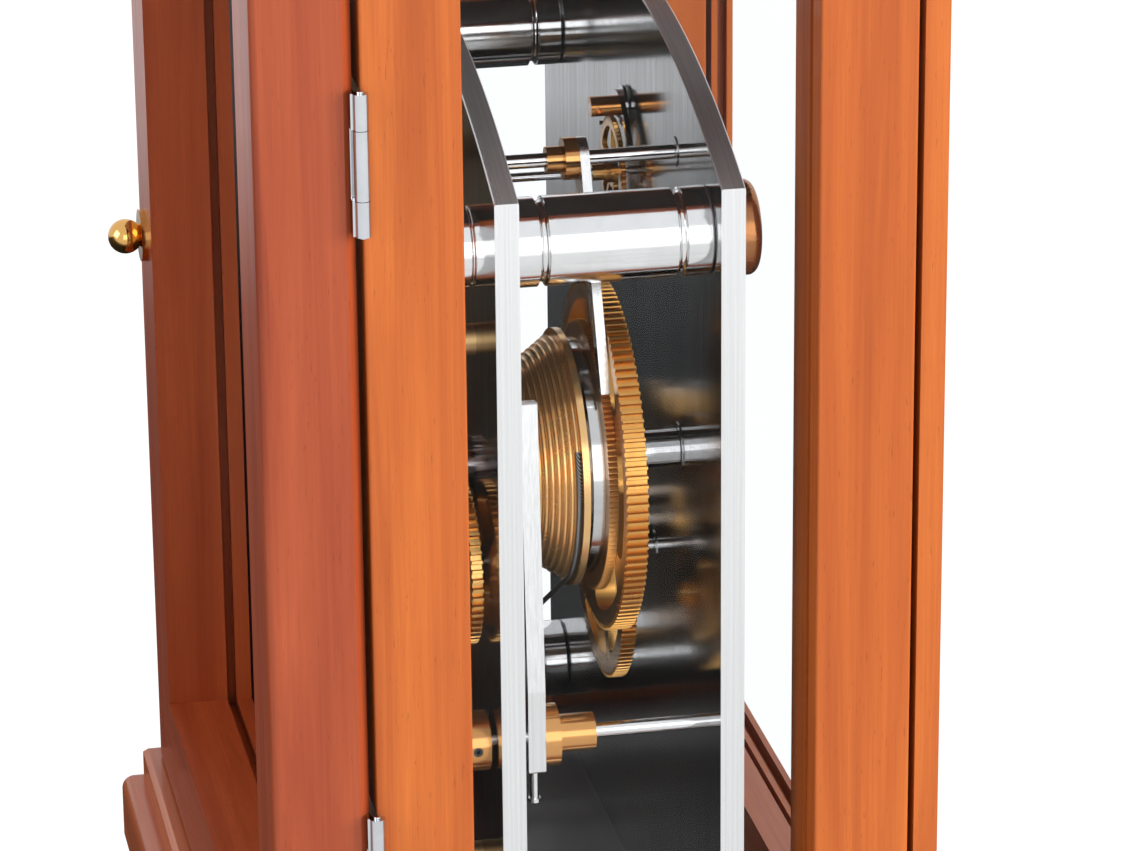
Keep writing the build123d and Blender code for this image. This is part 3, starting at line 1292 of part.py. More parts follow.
with BuildPart() as hour_hand:
    hand(centre, hour_hand_back, hour_hand_length, 2.0, 1.1, 0.25, 5.0, hour_pipe_outer + 0.02, 145.0)
finish(hour_hand, "hour_hand")

with BuildPart() as minute_hand:
    hand(centre, minute_hand_back, minute_hand_length, 1.5, 0.9, 0.2, 4.2, cannon_pipe_outer + 0.02, 36.0)
finish(minute_hand, "minute_hand")

with BuildPart() as reserve_hand:
    hand(indicator, reserve_hand_back + hand_thickness * 0.33 - 0.3, reserve_hand_length, 0.5, 0.35, 0.15,
         2.0, indicator_arbor_radius + 0.02, 90.0)
finish(reserve_hand, "reserve_hand")

for piece in pieces:
    export_step(piece.part, "parts/" + piece.part.label + ".step")
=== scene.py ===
import math
import bpy
from mathutils import Matrix, Vector


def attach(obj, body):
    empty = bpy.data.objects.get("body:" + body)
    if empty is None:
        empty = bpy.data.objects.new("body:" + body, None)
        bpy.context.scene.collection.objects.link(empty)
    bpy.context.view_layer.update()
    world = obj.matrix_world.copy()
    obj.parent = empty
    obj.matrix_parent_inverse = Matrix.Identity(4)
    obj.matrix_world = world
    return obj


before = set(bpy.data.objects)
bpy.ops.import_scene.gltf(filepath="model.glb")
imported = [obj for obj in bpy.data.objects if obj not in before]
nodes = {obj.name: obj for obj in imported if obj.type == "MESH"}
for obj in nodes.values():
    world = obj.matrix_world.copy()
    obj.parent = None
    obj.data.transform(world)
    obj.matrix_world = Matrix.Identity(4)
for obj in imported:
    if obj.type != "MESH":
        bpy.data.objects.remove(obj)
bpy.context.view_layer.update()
scene = bpy.context.scene
scene.view_settings.view_transform = "Standard"

# ------------------------------------------------------------------ camera, at the photograph's angle
AZIMUTH = math.radians(78.976)
ELEVATION = math.radians(20.116)
ROLL = math.radians(-0.543)
CAMERA_PLACE = (1.0184, -0.1860, 0.5249)
LENS = 161.55
SENSOR_WIDTH = 36.0
forward = Vector((-math.sin(AZIMUTH) * math.cos(ELEVATION), math.cos(AZIMUTH) * math.cos(ELEVATION),
                  -math.sin(ELEVATION)))
right = Vector((math.cos(AZIMUTH), math.sin(AZIMUTH), 0.0))
up = right.cross(forward)
image_right = right * math.cos(ROLL) + up * math.sin(ROLL)
image_up = up * math.cos(ROLL) - right * math.sin(ROLL)
camera_data = bpy.data.cameras.new("camera")
camera_data.lens = LENS
camera_data.sensor_width = SENSOR_WIDTH
camera_data.sensor_fit = "HORIZONTAL"
camera_data.clip_start = 0.01
camera = bpy.data.objects.new("camera", camera_data)
turn = Matrix((image_right, image_up, -forward)).transposed().to_4x4()
camera.matrix_world = Matrix.Translation(CAMERA_PLACE) @ turn
scene.collection.objects.link(camera)
scene.camera = camera

# ------------------------------------------------------------------ places on the clock, in metres
# An axis that runs from front to back is given as (x, z).
SHOULDER = 0.2256
FUSEE = (0.05164, SHOULDER - 0.0681)
SECOND = (0.02710, 0.12642)
CENTRE = (0.0, 0.1393)
THIRD = (-0.00215, 0.17022)
ESCAPE = (0.0, SHOULDER - 0.0237)
PALLET = (0.0, SHOULDER - 0.0093)
STOP = (0.0778, SHOULDER - 0.1186)
BARREL = (-0.046, SHOULDER - 0.1208)
MINUTE = (-0.01527, 0.12402)
RESERVE = (0.0664, 0.14173)
INDICATOR = (0.05197, 0.12730)
BOB = (0.0, PALLET[1] - 0.118)
DOOR_OPENING_X = 0.0799    # just inside the front door's stiles
POST_INNER_X = 0.0829      # just inside the posts and the rear door's stiles
TOP_BOARD_X = 0.1          # the top board's underside, without its rim
PLATE_FLANK_X = 0.08       # outside it, a sideways face of a plate is its upright edge
PLATE_ARCH_Z = 0.22        # above it, an upward face of a plate is its arched edge
PALLET_DISC_Y = (0.0231, 0.0257)
PALLET_SHAFT_RADIUS = 0.0012
# The places and radii below are in millimetres.
RING_FRONT = -41.2
DIAL_FRONT = -40.0
NUMERAL_RADII = (66.6, 74.2)
TRACK_CIRCLES = ((75.6, 75.85), (78.3, 78.55))
COCK_SCREW = (10.0, 40.8, 199.3)
DIAL_SCREW_X = 66.0
DIAL_SCREW_DROPS = (36.0, 150.0)
# The reserve scale's first mark and how far it runs, in degrees.
RESERVE_START = -30.0
RESERVE_SWEEP = 192.0


# ------------------------------------------------------------------ small helpers for materials
class Shader:
    """A node material that is built up a node at a time, with object coordinates in millimetres."""

    def __init__(self, name):
        self.material = bpy.data.materials.new(name)
        self.material.use_nodes = True
        self.tree = self.material.node_tree
        self.principled = self.tree.nodes["Principled BSDF"]
        self.coords = self.add("ShaderNodeTexCoord").outputs["Object"]

    def add(self, kind, **settings):
        node = self.tree.nodes.new(kind)
        for key, value in settings.items():
            setattr(node, key, value)
        return node

    def feed(self, socket, value):
        """Links another node's output to a socket, or sets a plain value there."""
        if hasattr(value, "is_output"):
            self.tree.links.new(value, socket)
        else:
            socket.default_value = value

    def mapped(self, scale, centre=(0.0, 0.0, 0.0)):
        """Coordinates times a scale per millimetre, measured from a centre in metres."""
        node = self.add("ShaderNodeMapping")
        node.inputs["Scale"].default_value = [1000.0 * s for s in scale]
        node.inputs["Location"].default_value = [-1000.0 * s * c for s, c in zip(scale, centre)]
        self.feed(node.inputs["Vector"], self.coords)
        return node.outputs["Vector"]

    def noise(self, scale, detail=3.0, roughness=0.5, distortion=0.0):
        node = self.add("ShaderNodeTexNoise")
        self.feed(node.inputs["Vector"], self.mapped(scale))
        node.inputs["Scale"].default_value = 1.0
        node.inputs["Detail"].default_value = detail
        node.inputs["Roughness"].default_value = roughness
        node.inputs["Distortion"].default_value = distortion
        return node.outputs["Fac"]

    def math(self, operation, a, b=0.0):
        node = self.add("ShaderNodeMath", operation=operation)
        self.feed(node.inputs[0], a)
        self.feed(node.inputs[1], b)
        return node.outputs[0]

    def spread(self, value, low, high, to_low=0.0, to_high=1.0):
        """Stretches the range from low to high onto another one."""
        node = self.add("ShaderNodeMapRange")
        self.feed(node.inputs["Value"], value)
        node.inputs["From Min"].default_value = low
        node.inputs["From Max"].default_value = high
        node.inputs["To Min"].default_value = to_low
        node.inputs["To Max"].default_value = to_high
        return node.outputs["Result"]

    def ramp(self, value, stops):
        """Colours by (position, colour) stops."""
        node = self.add("ShaderNodeValToRGB")
        elements = node.color_ramp.elements
        while len(elements) < len(stops):
            elements.new(0.5)
        for element, (position, colour) in zip(elements, stops):
            element.position = position
            element.color = (*colour, 1.0)
        self.feed(node.inputs["Fac"], value)
        return node.outputs["Color"]

    def mix(self, share, first, second):
        """Mixes two colours."""
        node = self.add("ShaderNodeMix", data_type="RGBA")
        self.feed(node.inputs[0], share)
        for socket, value in ((node.inputs[6], first), (node.inputs[7], second)):
            self.feed(socket, value if hasattr(value, "is_output") else (*value, 1.0))
        return node.outputs[2]

    def bump(self, height, distance, strength=1.0):
        node = self.add("ShaderNodeBump")
        node.inputs["Strength"].default_value = strength
        node.inputs["Distance"].default_value = distance
        self.feed(node.inputs["Height"], height)
        return node.outputs["Normal"]

    def radius(self, axis):
        """Distance in millimetres from an axis that runs from front to back."""
        split = self.add("ShaderNodeSeparateXYZ")
        self.feed(split.inputs[0], self.mapped((1, 1, 1), (axis[0], 0.0, axis[1])))
        square = self.math("ADD", self.math("MULTIPLY", split.outputs["X"], split.outputs["X"]),
                           self.math("MULTIPLY", split.outputs["Z"], split.outputs["Z"]))
        return self.math("SQRT", square)

    def coordinate(self, letter):
        """One coordinate, in millimetres."""
        split = self.add("ShaderNodeSeparateXYZ")
        self.feed(split.inputs[0], self.mapped((1, 1, 1)))
        return split.outputs[letter]

    def show_mix(self, share, first, second):
        """Shows a mix of two shaders on the surface."""
        both = self.add("ShaderNodeMixShader")
        for socket, value in zip(both.inputs, (share, first, second)):
            self.feed(socket, value)
        self.feed(self.tree.nodes["Material Output"].inputs["Surface"], both.outputs[0])

    def finish(self, **values):
        """Sets or links inputs of the main shader, named with underscores, and gives the material."""
        for key, value in values.items():
            name = key.replace("_", " ")
            self.feed(self.principled.inputs[name], value)
        return self.material


def stretched(axis, across, along):
    """Texture scale per millimetre that is drawn out along an axis."""
    return tuple(along if letter in axis else across for letter in "XYZ")


def cherry(name, axis, tone=(1.0, 1.0, 1.0), shift=0.0, coat=0.16):
    """Lacquered cherry: broad figure, fine fibres, short dark flecks, under a clear coat."""
    s = Shader(name)
    figure = s.noise(stretched(axis, 0.11, 0.005), 5.0, 0.6, 0.7)
    fibres = s.noise(stretched(axis, 1.9, 0.03), 3.0, 0.6, 0.2)
    flecks = s.noise(stretched(axis, 2.6, 0.28), 2.0, 0.5, 0.0)
    waves = s.noise(stretched(axis, 0.02, 0.05), 2.0, 0.5, 0.5)
    base = [(0.285, 0.055, 0.013), (0.47, 0.115, 0.026), (0.60, 0.17, 0.042), (0.72, 0.235, 0.062)]
    stops = [tuple(c * t for c, t in zip(colour, tone)) for colour in base]
    colour = s.ramp(s.math("ADD", figure, shift), list(zip((0.15, 0.40, 0.60, 0.85), stops)))
    colour = s.mix(s.spread(fibres, 0.35, 0.68, 0.0, 0.24), colour, stops[0])
    colour = s.mix(s.spread(flecks, 0.66, 0.76, 0.0, 0.42), colour, tuple(0.5 * c for c in stops[0]))
    colour = s.mix(s.spread(waves, 0.3, 0.7, 0.0, 0.22), colour, stops[1])
    rough = s.spread(fibres, 0.3, 0.7, 0.30, 0.46)
    height = s.math("ADD", s.math("MULTIPLY", fibres, 0.6), s.math("MULTIPLY", flecks, -0.5))
    return s.finish(Base_Color=colour, Roughness=rough, Coat_Weight=coat, Coat_Roughness=0.1,
                    Normal=s.bump(height, 0.00008, 0.35), Specular_IOR_Level=0.25)


def brushed(name, axis, colour, rough=0.2, depth=0.00002, streak=1.6, contrast=0.3, metal=1.0):
    """Steel with fine straight brushing along one axis, and a few deeper strokes."""
    s = Shader(name)
    fine = s.noise(stretched(axis, streak, 0.012), 5.0, 0.7)
    broad = s.noise(stretched(axis, 0.35, 0.008), 3.0, 0.5)
    strokes = s.noise(stretched(axis, 3.0, 0.06), 2.0, 0.4)
    shade = s.mix(s.spread(fine, 0.36, 0.64, 0.0, contrast), colour, tuple(0.4 * c for c in colour))
    shade = s.mix(s.spread(broad, 0.35, 0.7, 0.0, contrast * 0.8), shade, tuple(0.7 * c for c in colour))
    bright = tuple(min(1.0, 1.5 * c) for c in colour)
    shade = s.mix(s.spread(strokes, 0.68, 0.78, 0.0, contrast), shade, bright)
    height = s.math("ADD", fine, s.math("MULTIPLY", strokes, 0.5))
    return s.finish(Base_Color=shade, Metallic=metal, Normal=s.bump(height, depth, 0.6),
                    Roughness=s.spread(broad, 0.3, 0.7, rough * 0.8, rough * 1.3))


def polished(name, colour, rough, smudge, axis=None, marks=0.0, along_y=False, metal=1.0):
    """Polished metal with faint smudges, hairline scratches and, where turned, fine lathe marks."""
    s = Shader(name)
    film = s.noise((0.16, 0.16, 0.16), 4.0, 0.6, 0.6)
    hair = s.noise((7.0, 0.9, 7.0) if along_y else (0.9, 7.0, 0.9), 2.0, 0.5, 0.4)
    tint = s.mix(s.spread(film, 0.35, 0.75, 0.0, 0.35 * smudge), colour, tuple(0.6 * c for c in colour))
    height = s.math("MULTIPLY", hair, 0.4)
    if axis is not None:
        rings = s.math("SINE", s.math("MULTIPLY", s.radius(axis), 22.0))
        turned = s.noise((0.0, 3.0, 0.0), 3.0, 0.6)
        lathe = s.math("ADD", s.math("MULTIPLY", rings, marks), s.math("MULTIPLY", turned, marks))
        height = s.math("ADD", height, lathe)
    return s.finish(Base_Color=tint, Metallic=metal, Normal=s.bump(height, 0.000012, 0.6),
                    Roughness=s.spread(film, 0.3, 0.75, rough * 0.7, rough * 1.6))


GOLD = (0.68, 0.38, 0.12)
WHEEL_GOLD = (0.62, 0.31, 0.078)
RATCHET_GOLD = (0.62, 0.31, 0.092)
HUB_GOLD = (0.70, 0.31, 0.085)
STEEL = (0.66, 0.66, 0.67)
DARK_STEEL = (0.40, 0.40, 0.41)
NICKEL = (0.58, 0.60, 0.625)


def seen_by(tree, *kinds):
    """Gives 1 to the kinds of ray that are named, and 0 to the others."""
    path = tree.nodes.new("ShaderNodeLightPath")
    share = path.outputs[kinds[0]]
    for kind in kinds[1:]:
        either = tree.nodes.new("ShaderNodeMath")
        either.operation = "MAXIMUM"
        tree.links.new(share, either.inputs[0])
        tree.links.new(path.outputs[kind], either.inputs[1])
        share = either.outputs[0]
    return share


def wheel_and_arbor(name, axis, arbor_radius, gold=GOLD, rough=(0.12, 0.26)):
    """A brass wheel with its steel arbor: the metal changes at the arbor's radius, in millimetres."""
    s = Shader(name)
    film = s.noise((0.2, 0.2, 0.2), 4.0, 0.6, 0.5)
    rings = s.math("SINE", s.math("MULTIPLY", s.radius(axis), 16.0))
    steel_share = s.spread(s.radius(axis), arbor_radius - 0.05, arbor_radius + 0.05, 1.0, 0.0)
    grime = s.mix(s.spread(film, 0.35, 0.75, 0.0, 0.3), gold, tuple(0.5 * c for c in gold))
    colour = s.mix(steel_share, grime, STEEL)
    return s.finish(Base_Color=colour, Metallic=0.88, Roughness=s.spread(film, 0.3, 0.7, *rough),
                    Normal=s.bump(s.math("ADD", rings, s.noise((3, 3, 3), 2.0)), 0.000008, 0.5))


def dress(node, material, *others):
    """Gives a frame node one material, and other materials to the faces that a rule picks."""
    mesh = nodes[node].data
    mesh.materials.clear()
    mesh.materials.append(material)
    for other, _ in others:
        mesh.materials.append(other)
    for face in mesh.polygons:
        face.material_index = 0
        for place, (_, rule) in enumerate(others, 1):
            if rule(face.normal, face.center):
                face.material_index = place


# ------------------------------------------------------------------ the case
POST_TONE = (0.83, 0.71, 0.43)
DOOR_TONE = (0.62, 0.43, 0.54)
MOULDING_TONE = (0.85, 0.70, 0.53)
post_wood = cherry("cherry_post", "Z", POST_TONE)
door_wood = cherry("cherry_door", "Z", DOOR_TONE, shift=-0.05)
door_rail_wood = cherry("cherry_door_rail", "X", DOOR_TONE, shift=-0.05)
rear_rail_wood = cherry("cherry_rear_rail", "X", POST_TONE)
rail_wood = cherry("cherry_rail", "X", MOULDING_TONE, coat=0.3)
moulding_wood = cherry("cherry_side_moulding", "Y", MOULDING_TONE, coat=0.3)
side_rail_wood = cherry("cherry_side_rail", "Y", (0.93, 0.76, 0.74), shift=-0.03, coat=0.6)
board_wood = cherry("cherry_board", "X", (0.88, 0.74, 0.53))
# A nearly black wood colour, given to the seat board.
dark_wood = cherry("near_black_wood", "X", (0.07, 0.09, 0.16))
# The top board's underside is toned grey instead of cherry, so that the tops of the pillars mirror a grey
# band: a painted reflection.
underside = cherry("grey_underside_for_pillar_reflection", "X", (0.13, 0.42, 1.5))


def between_posts(normal, centre):
    """Picks the cross rails, whose grain runs from side to side."""
    return abs(centre.x) < POST_INNER_X


def sideways(normal, centre):
    """Picks the faces that look to the left or the right."""
    return abs(normal.x) > max(0.15, abs(normal.y))


for name in ("front_posts", "rear_posts"):
    dress(name, post_wood)
dress("door_frame", door_wood, (door_rail_wood, lambda normal, centre: abs(centre.x) < DOOR_OPENING_X))
dress("rear_door_frame", post_wood, (rear_rail_wood, between_posts))
for name in ("bottom_rails", "top_rails"):
    dress(name, side_rail_wood, (rail_wood, between_posts))
dress("plinth", rail_wood, (moulding_wood, sideways))
dress("top_board", board_wood, (moulding_wood, sideways),
      (underside, lambda normal, centre: normal.z < -0.9 and abs(centre.x) < TOP_BOARD_X))
dress("seat_board", dark_wood)

s = Shader("foot_rubber")
grit = s.noise((1.2, 1.2, 1.2), 4.0, 0.6)
dress("feet", s.finish(Base_Color=s.ramp(grit, [(0.3, (0.012, 0.012, 0.013)), (0.7, (0.035, 0.034, 0.033))]),
                       Roughness=s.spread(grit, 0.3, 0.7, 0.6, 0.8), Normal=s.bump(grit, 0.00005, 0.5)))


def clear_glass(name):
    """Clean sheet glass: clear, with a faint reflection and hardly visible wipe marks."""
    s = Shader(name)
    through = s.add("ShaderNodeBsdfTransparent")
    through.inputs["Color"].default_value = (0.975, 0.978, 0.98, 1.0)
    shine = s.add("ShaderNodeBsdfGlossy")
    wipe = s.noise((0.02, 0.02, 0.05), 3.0, 0.5, 1.0)
    s.feed(shine.inputs["Roughness"], s.spread(wipe, 0.3, 0.7, 0.01, 0.05))
    shine.inputs["Color"].default_value = (0.9, 0.93, 0.93, 1.0)
    s.show_mix(s.spread(wipe, 0.3, 0.7, 0.003, 0.006), through.outputs[0], shine.outputs[0])
    s.tree.nodes.remove(s.principled)
    return s.material


glass = clear_glass("sheet_glass")
for name in ("side_glasses", "door_glass", "rear_door_glass"):
    dress(name, glass)

nickel = polished("hinge_nickel", NICKEL, rough=0.1, smudge=0.7)
for name in ("door_hinge_leaves", "case_hinge_leaves", "rear_hinge_leaves", "hinge_pins"):
    dress(name, nickel)
dress("door_knob", polished("knob_brass", GOLD, rough=0.12, smudge=0.6))

# ------------------------------------------------------------------ the movement
# The plate faces get a much darker steel colour than the plates' edges: painted shade, standing in for the
# dark surroundings that the faces mirror.
plate_face = brushed("plate_face", "Z", (0.36, 0.365, 0.37), rough=0.11, streak=0.42, contrast=0.85)
plate_edge = brushed("plate_edge", "Z", (0.82, 0.82, 0.82), depth=0.000016, streak=2.0, contrast=0.14)
for name in ("front_plate", "back_plate"):
    plate_arch = brushed(name + "_arch", "XZ", (0.80, 0.80, 0.81), rough=0.3, depth=0.000014, contrast=0.4,
                         metal=0.75)
    dress(name, plate_face,
          (plate_edge, lambda normal, centre: abs(normal.x) > 0.9 and abs(centre.x) > PLATE_FLANK_X),
          (plate_arch, lambda normal, centre: normal.z > 0.3 and centre.z > PLATE_ARCH_Z))
chrome = polished("pillar_chrome", (0.78, 0.78, 0.78), rough=0.1, smudge=0.5, along_y=True)
dress("plate_pillars", chrome)
dress("front_nuts", chrome)
dress("pillar_nuts", polished("nut_brass", (0.42, 0.175, 0.064), rough=0.24, smudge=0.6, metal=0.8))
dress("fusee_cone", polished("fusee_brass", (0.83, 0.51, 0.22), rough=0.2, smudge=0.5, metal=0.75))
dress("fusee_arbor", polished("fusee_arbor_steel", STEEL, rough=0.1, smudge=0.5))
dress("fusee_drum", polished("drum_steel", (0.56, 0.56, 0.56), rough=0.09, smudge=0.3))
dress("maintaining_ratchet", wheel_and_arbor("ratchet_brass", FUSEE, 3.0, RATCHET_GOLD, (0.26, 0.36)))
dress("great_wheel", wheel_and_arbor("great_wheel_brass", FUSEE, 3.0, WHEEL_GOLD, (0.26, 0.36)))
dress("maintaining_spring", polished("spring_steel", STEEL, rough=0.08, smudge=0.4))
arbor_steel = polished("arbor_steel", (0.74, 0.74, 0.74), rough=0.06, smudge=0.3)
for name in ("detent_arbor", "stop_arbor", "barrel_arbor"):
    dress(name, arbor_steel)


def on_pallet_disc(normal, centre):
    """Picks the steel disc on the pallet arbor, just behind the anchor."""
    outside = math.hypot(centre.x, centre.z - PALLET[1]) > PALLET_SHAFT_RADIUS
    return outside and PALLET_DISC_Y[0] < centre.y < PALLET_DISC_Y[1]


dress("pallet_arbor", wheel_and_arbor("pallet_hub_brass", PALLET, 1.14, HUB_GOLD),
      (polished("pallet_disc_steel", DARK_STEEL, rough=0.1, smudge=0.6), on_pallet_disc))
collet_brass = polished("collet_brass", (0.62, 0.31, 0.105), rough=0.12, smudge=0.5, metal=0.82)
for name in ("detent_collet", "stop_hub", "stop_collar"):
    dress(name, collet_brass)
lever_steel = brushed("lever_steel", "Z", (0.78, 0.78, 0.78), rough=0.22, depth=0.00001, streak=2.4,
                      contrast=0.22)
dress("detent_lever", lever_steel)
dress("stop_lever", lever_steel)
dress("anchor", polished("anchor_steel", DARK_STEEL, rough=0.14, smudge=0.5))
dress("barrel", wheel_and_arbor("barrel_brass", BARREL, 3.0))
dress("barrel_ratchet", polished("click_steel", STEEL, rough=0.16, smudge=0.6))
s = Shader("mainspring_steel")
film = s.noise((0.3, 0.3, 0.3), 3.0)
dress("mainspring", s.finish(Base_Color=s.ramp(film, [(0.3, (0.05, 0.06, 0.1)), (0.7, (0.1, 0.09, 0.12))]),
                             Metallic=1.0, Roughness=0.3))
dress("second_wheel", wheel_and_arbor("second_wheel_brass", SECOND, 4.2))
dress("centre_wheel", wheel_and_arbor("centre_wheel_brass", CENTRE, 3.4))
dress("third_wheel", wheel_and_arbor("third_wheel_brass", THIRD, 3.4))
dress("escape_wheel", wheel_and_arbor("escape_wheel_brass", ESCAPE, 1.2))
for name, axis in (("minute_wheel", MINUTE), ("hour_wheel", CENTRE), ("reserve_wheel", RESERVE),
                   ("reserve_indicator", INDICATOR)):
    dress(name, wheel_and_arbor(name + "_brass", axis, 1.3))
dress("cannon_pinion", arbor_steel)
dress("pendulum_rod", brushed("rod_steel", "Z", (0.5, 0.5, 0.5), rough=0.25, depth=0.00001))
dress("pendulum_bob", polished("bob_brass", GOLD, rough=0.16, smudge=0.6, axis=BOB, marks=0.6))
dress("back_cock", brushed("cock_brass", "X", (0.78, 0.5, 0.2), rough=0.22, depth=0.00001, streak=5.0,
                           contrast=0.2))

s = Shader("cable_steel")
strands = s.add("ShaderNodeTexWave", bands_direction="DIAGONAL")
strands.inputs["Scale"].default_value = 1.0
s.feed(strands.inputs["Vector"], s.mapped((0.5, 0.9, 0.9)))
strands.inputs["Distortion"].default_value = 0.3
strand = strands.outputs["Fac"]
# The cable is nearly black in the grooves between its strands: painted shade.
dress("fusee_cable", s.finish(Base_Color=s.mix(strand, (0.015, 0.015, 0.016), (0.5, 0.5, 0.5)),
                              Metallic=1.0, Roughness=0.35, Normal=s.bump(strand, 0.0002, 0.8)))

# ------------------------------------------------------------------ dial and hands
s = Shader("dial_brass")
grain = s.noise((1.6, 1.6, 1.6), 4.0, 0.7)
cloud = s.noise((0.03, 0.03, 0.03), 3.0, 0.6, 0.4)
tint = s.mix(s.spread(cloud, 0.3, 0.7), (0.78, 0.56, 0.26), (0.70, 0.48, 0.2))
dress("dial_plate", s.finish(Base_Color=tint, Metallic=1.0, Roughness=s.spread(grain, 0.3, 0.7, 0.34, 0.5),
                             Normal=s.bump(grain, 0.00003, 0.6)))
s = Shader("silvered_ring")
ring_marks = s.math("SINE", s.math("MULTIPLY", s.radius(CENTRE), 14.0))
grain = s.noise((1.2, 1.2, 1.2), 4.0, 0.6)
tint = s.ramp(grain, [(0.3, (0.72, 0.71, 0.67)), (0.7, (0.84, 0.83, 0.79))])
dress("chapter_ring", s.finish(Base_Color=tint, Metallic=0.55, Roughness=0.38,
                               Normal=s.bump(ring_marks, 0.000008, 0.6)))
s = Shader("blued_steel")
film = s.noise((0.3, 0.3, 0.3), 4.0, 0.6, 0.5)
blued_steel = s.finish(Base_Color=s.ramp(film, [(0.3, (0.008, 0.014, 0.07)), (0.7, (0.02, 0.03, 0.13))]),
                       Metallic=1.0, Roughness=s.spread(film, 0.3, 0.7, 0.16, 0.3))
for name in ("hour_hand", "minute_hand", "reserve_hand"):
    dress(name, blued_steel)


class Pieces:
    """A mesh put together from stacked outlines, in millimetres."""

    def __init__(self):
        self.points = []
        self.faces = []

    def stack(self, outline, levels, place):
        """Joins copies of an outline, one for each (height, scale) level, and caps both ends.

        The matrix called place carries them into the clock's frame.
        """
        count = len(outline)
        start = len(self.points)
        for height, scale in levels:
            self.points += [place @ Vector((x * scale, y * scale, height)) / 1000 for x, y in outline]
        self.faces.append(tuple(range(start + count - 1, start - 1, -1)))
        self.faces.append(tuple(range(len(self.points) - count, len(self.points))))
        for level in range(len(levels) - 1):
            low = start + level * count
            for step in range(count):
                after = (step + 1) % count
                self.faces.append((low + step, low + after, low + count + after, low + count + step))

    def finish(self, name, material, body):
        mesh = bpy.data.meshes.new(name)
        mesh.from_pydata(self.points, [], self.faces)
        mesh.validate()
        mesh.materials.append(material)
        piece = bpy.data.objects.new(name, mesh)
        scene.collection.objects.link(piece)
        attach(piece, body)


def looking(place, way):
    """A drawing frame at a place in millimetres, whose heights grow along a level direction."""
    way = Vector(way).normalized()
    side = Vector((0, 0, 1)).cross(way)
    return Matrix.Translation(Vector(place)) @ Matrix((side, (0, 0, 1), way)).transposed().to_4x4()


def circle(radius, sides=48, start=0.0, sweep=360.0):
    """Places round a circle, or along a part of one."""
    steps = sides if sweep == 360.0 else sides + 1
    return [(radius * math.cos(math.radians(start + sweep * step / sides)),
             radius * math.sin(math.radians(start + sweep * step / sides))) for step in range(steps)]


SLOT_SHARE = 0.14          # half of a screw's slot, as a share of the head's radius


def slotted_screw(pieces, place, way, radius, height, turn):
    """A cheese-head screw: a disc, and two half discs that leave a slot between them."""
    frame_of_head = looking(place, way) @ Matrix.Rotation(math.radians(turn), 4, "Z")
    pieces.stack(circle(radius), [(0.0, 1.0), (height * 0.5, 1.0)], frame_of_head)
    gap = math.degrees(math.asin(SLOT_SHARE))
    for start in (gap, 180.0 + gap):
        half = circle(radius, 24, start, 180.0 - 2 * gap)
        pieces.stack(half, [(height * 0.5, 1.0), (height * 0.85, 1.0), (height, 0.93)], frame_of_head)


def socket_screw(pieces, place, way, radius, depth):
    """A set screw's end: a ring round a six-sided socket, over the socket's floor."""
    frame_of_end = looking(place, way)
    pieces.stack(circle(radius), [(-depth, 1.0), (-0.6 * depth, 1.0)], frame_of_end)
    for side in range(6):
        start = 60.0 * side
        inner = circle(0.55 * radius, 1, start + 60.0, -60.0)
        pieces.stack(circle(radius, 8, start, 60.0) + inner, [(-0.6 * depth, 1.0), (0.0, 1.0)], frame_of_end)


def flat_marks(name, outlines, front, back, material, body):
    """Thin marks on a face that looks forward: each outline is a list of places (x, z)."""
    marks = Pieces()
    frame_of_face = looking((0.0, back, 0.0), (0, -1, 0))
    for count, outline in enumerate(outlines):
        marks.stack(outline, [(0.0, 1.0), (back - front + 0.002 * (count % 3), 1.0)], frame_of_face)
    marks.finish(name, material, body)


def round_dial(centre, radius, angle, aside=0.0):
    """A place at a clock angle (degrees clockwise from the top), moved aside along the circle."""
    way = math.radians(angle)
    return (centre[0] + radius * math.sin(way) + aside * math.cos(way),
            centre[1] + radius * math.cos(way) - aside * math.sin(way))


def stroke(centre, angle, low, high, low_side, high_side, low_width, high_width):
    """One stroke of a numeral, from a low radius to a high radius."""
    return [round_dial(centre, low, angle, low_side - low_width / 2),
            round_dial(centre, low, angle, low_side + low_width / 2),
            round_dial(centre, high, angle, high_side + high_width / 2),
            round_dial(centre, high, angle, high_side - high_width / 2)]


def numeral(centre, angle, letters, low, high):
    """A Roman numeral that stands on the circle with its foot towards the centre."""
    widths = {"I": 2.0, "V": 5.0, "X": 5.0}
    start = -sum(widths[letter] for letter in letters) / 2
    shapes = []
    for letter in letters:
        middle = start + widths[letter] / 2
        left = middle - widths[letter] / 2 + 0.8
        right = middle + widths[letter] / 2 - 0.8
        if letter == "I":
            shapes.append(stroke(centre, angle, low, high, middle, middle, 0.9, 0.9))
            serifs = ((middle, low), (middle, high))
        elif letter == "V":
            shapes.append(stroke(centre, angle, low, high, middle, left, 0.5, 1.1))
            shapes.append(stroke(centre, angle, low, high, middle, right, 0.3, 0.4))
            serifs = ((left, high), (right, high))
        else:
            shapes.append(stroke(centre, angle, low, high, right, left, 1.1, 1.1))
            shapes.append(stroke(centre, angle, low, high, left, right, 0.4, 0.4))
            serifs = ((left, high), (right, high), (left, low), (right, low))
        for side, level in serifs:
            shapes.append(stroke(centre, angle, level - 0.15, level + 0.15, side, side, 1.8, 1.8))
        start += widths[letter]
    return shapes


def circle_band(centre, inner, outer, parts=120):
    """A thin ring cut into short pieces."""
    shapes = []
    for step in range(parts):
        first = 360.0 * step / parts
        second = 360.0 * (step + 1) / parts
        shapes.append([round_dial(centre, inner, first), round_dial(centre, inner, second),
                       round_dial(centre, outer, second), round_dial(centre, outer, first)])
    return shapes


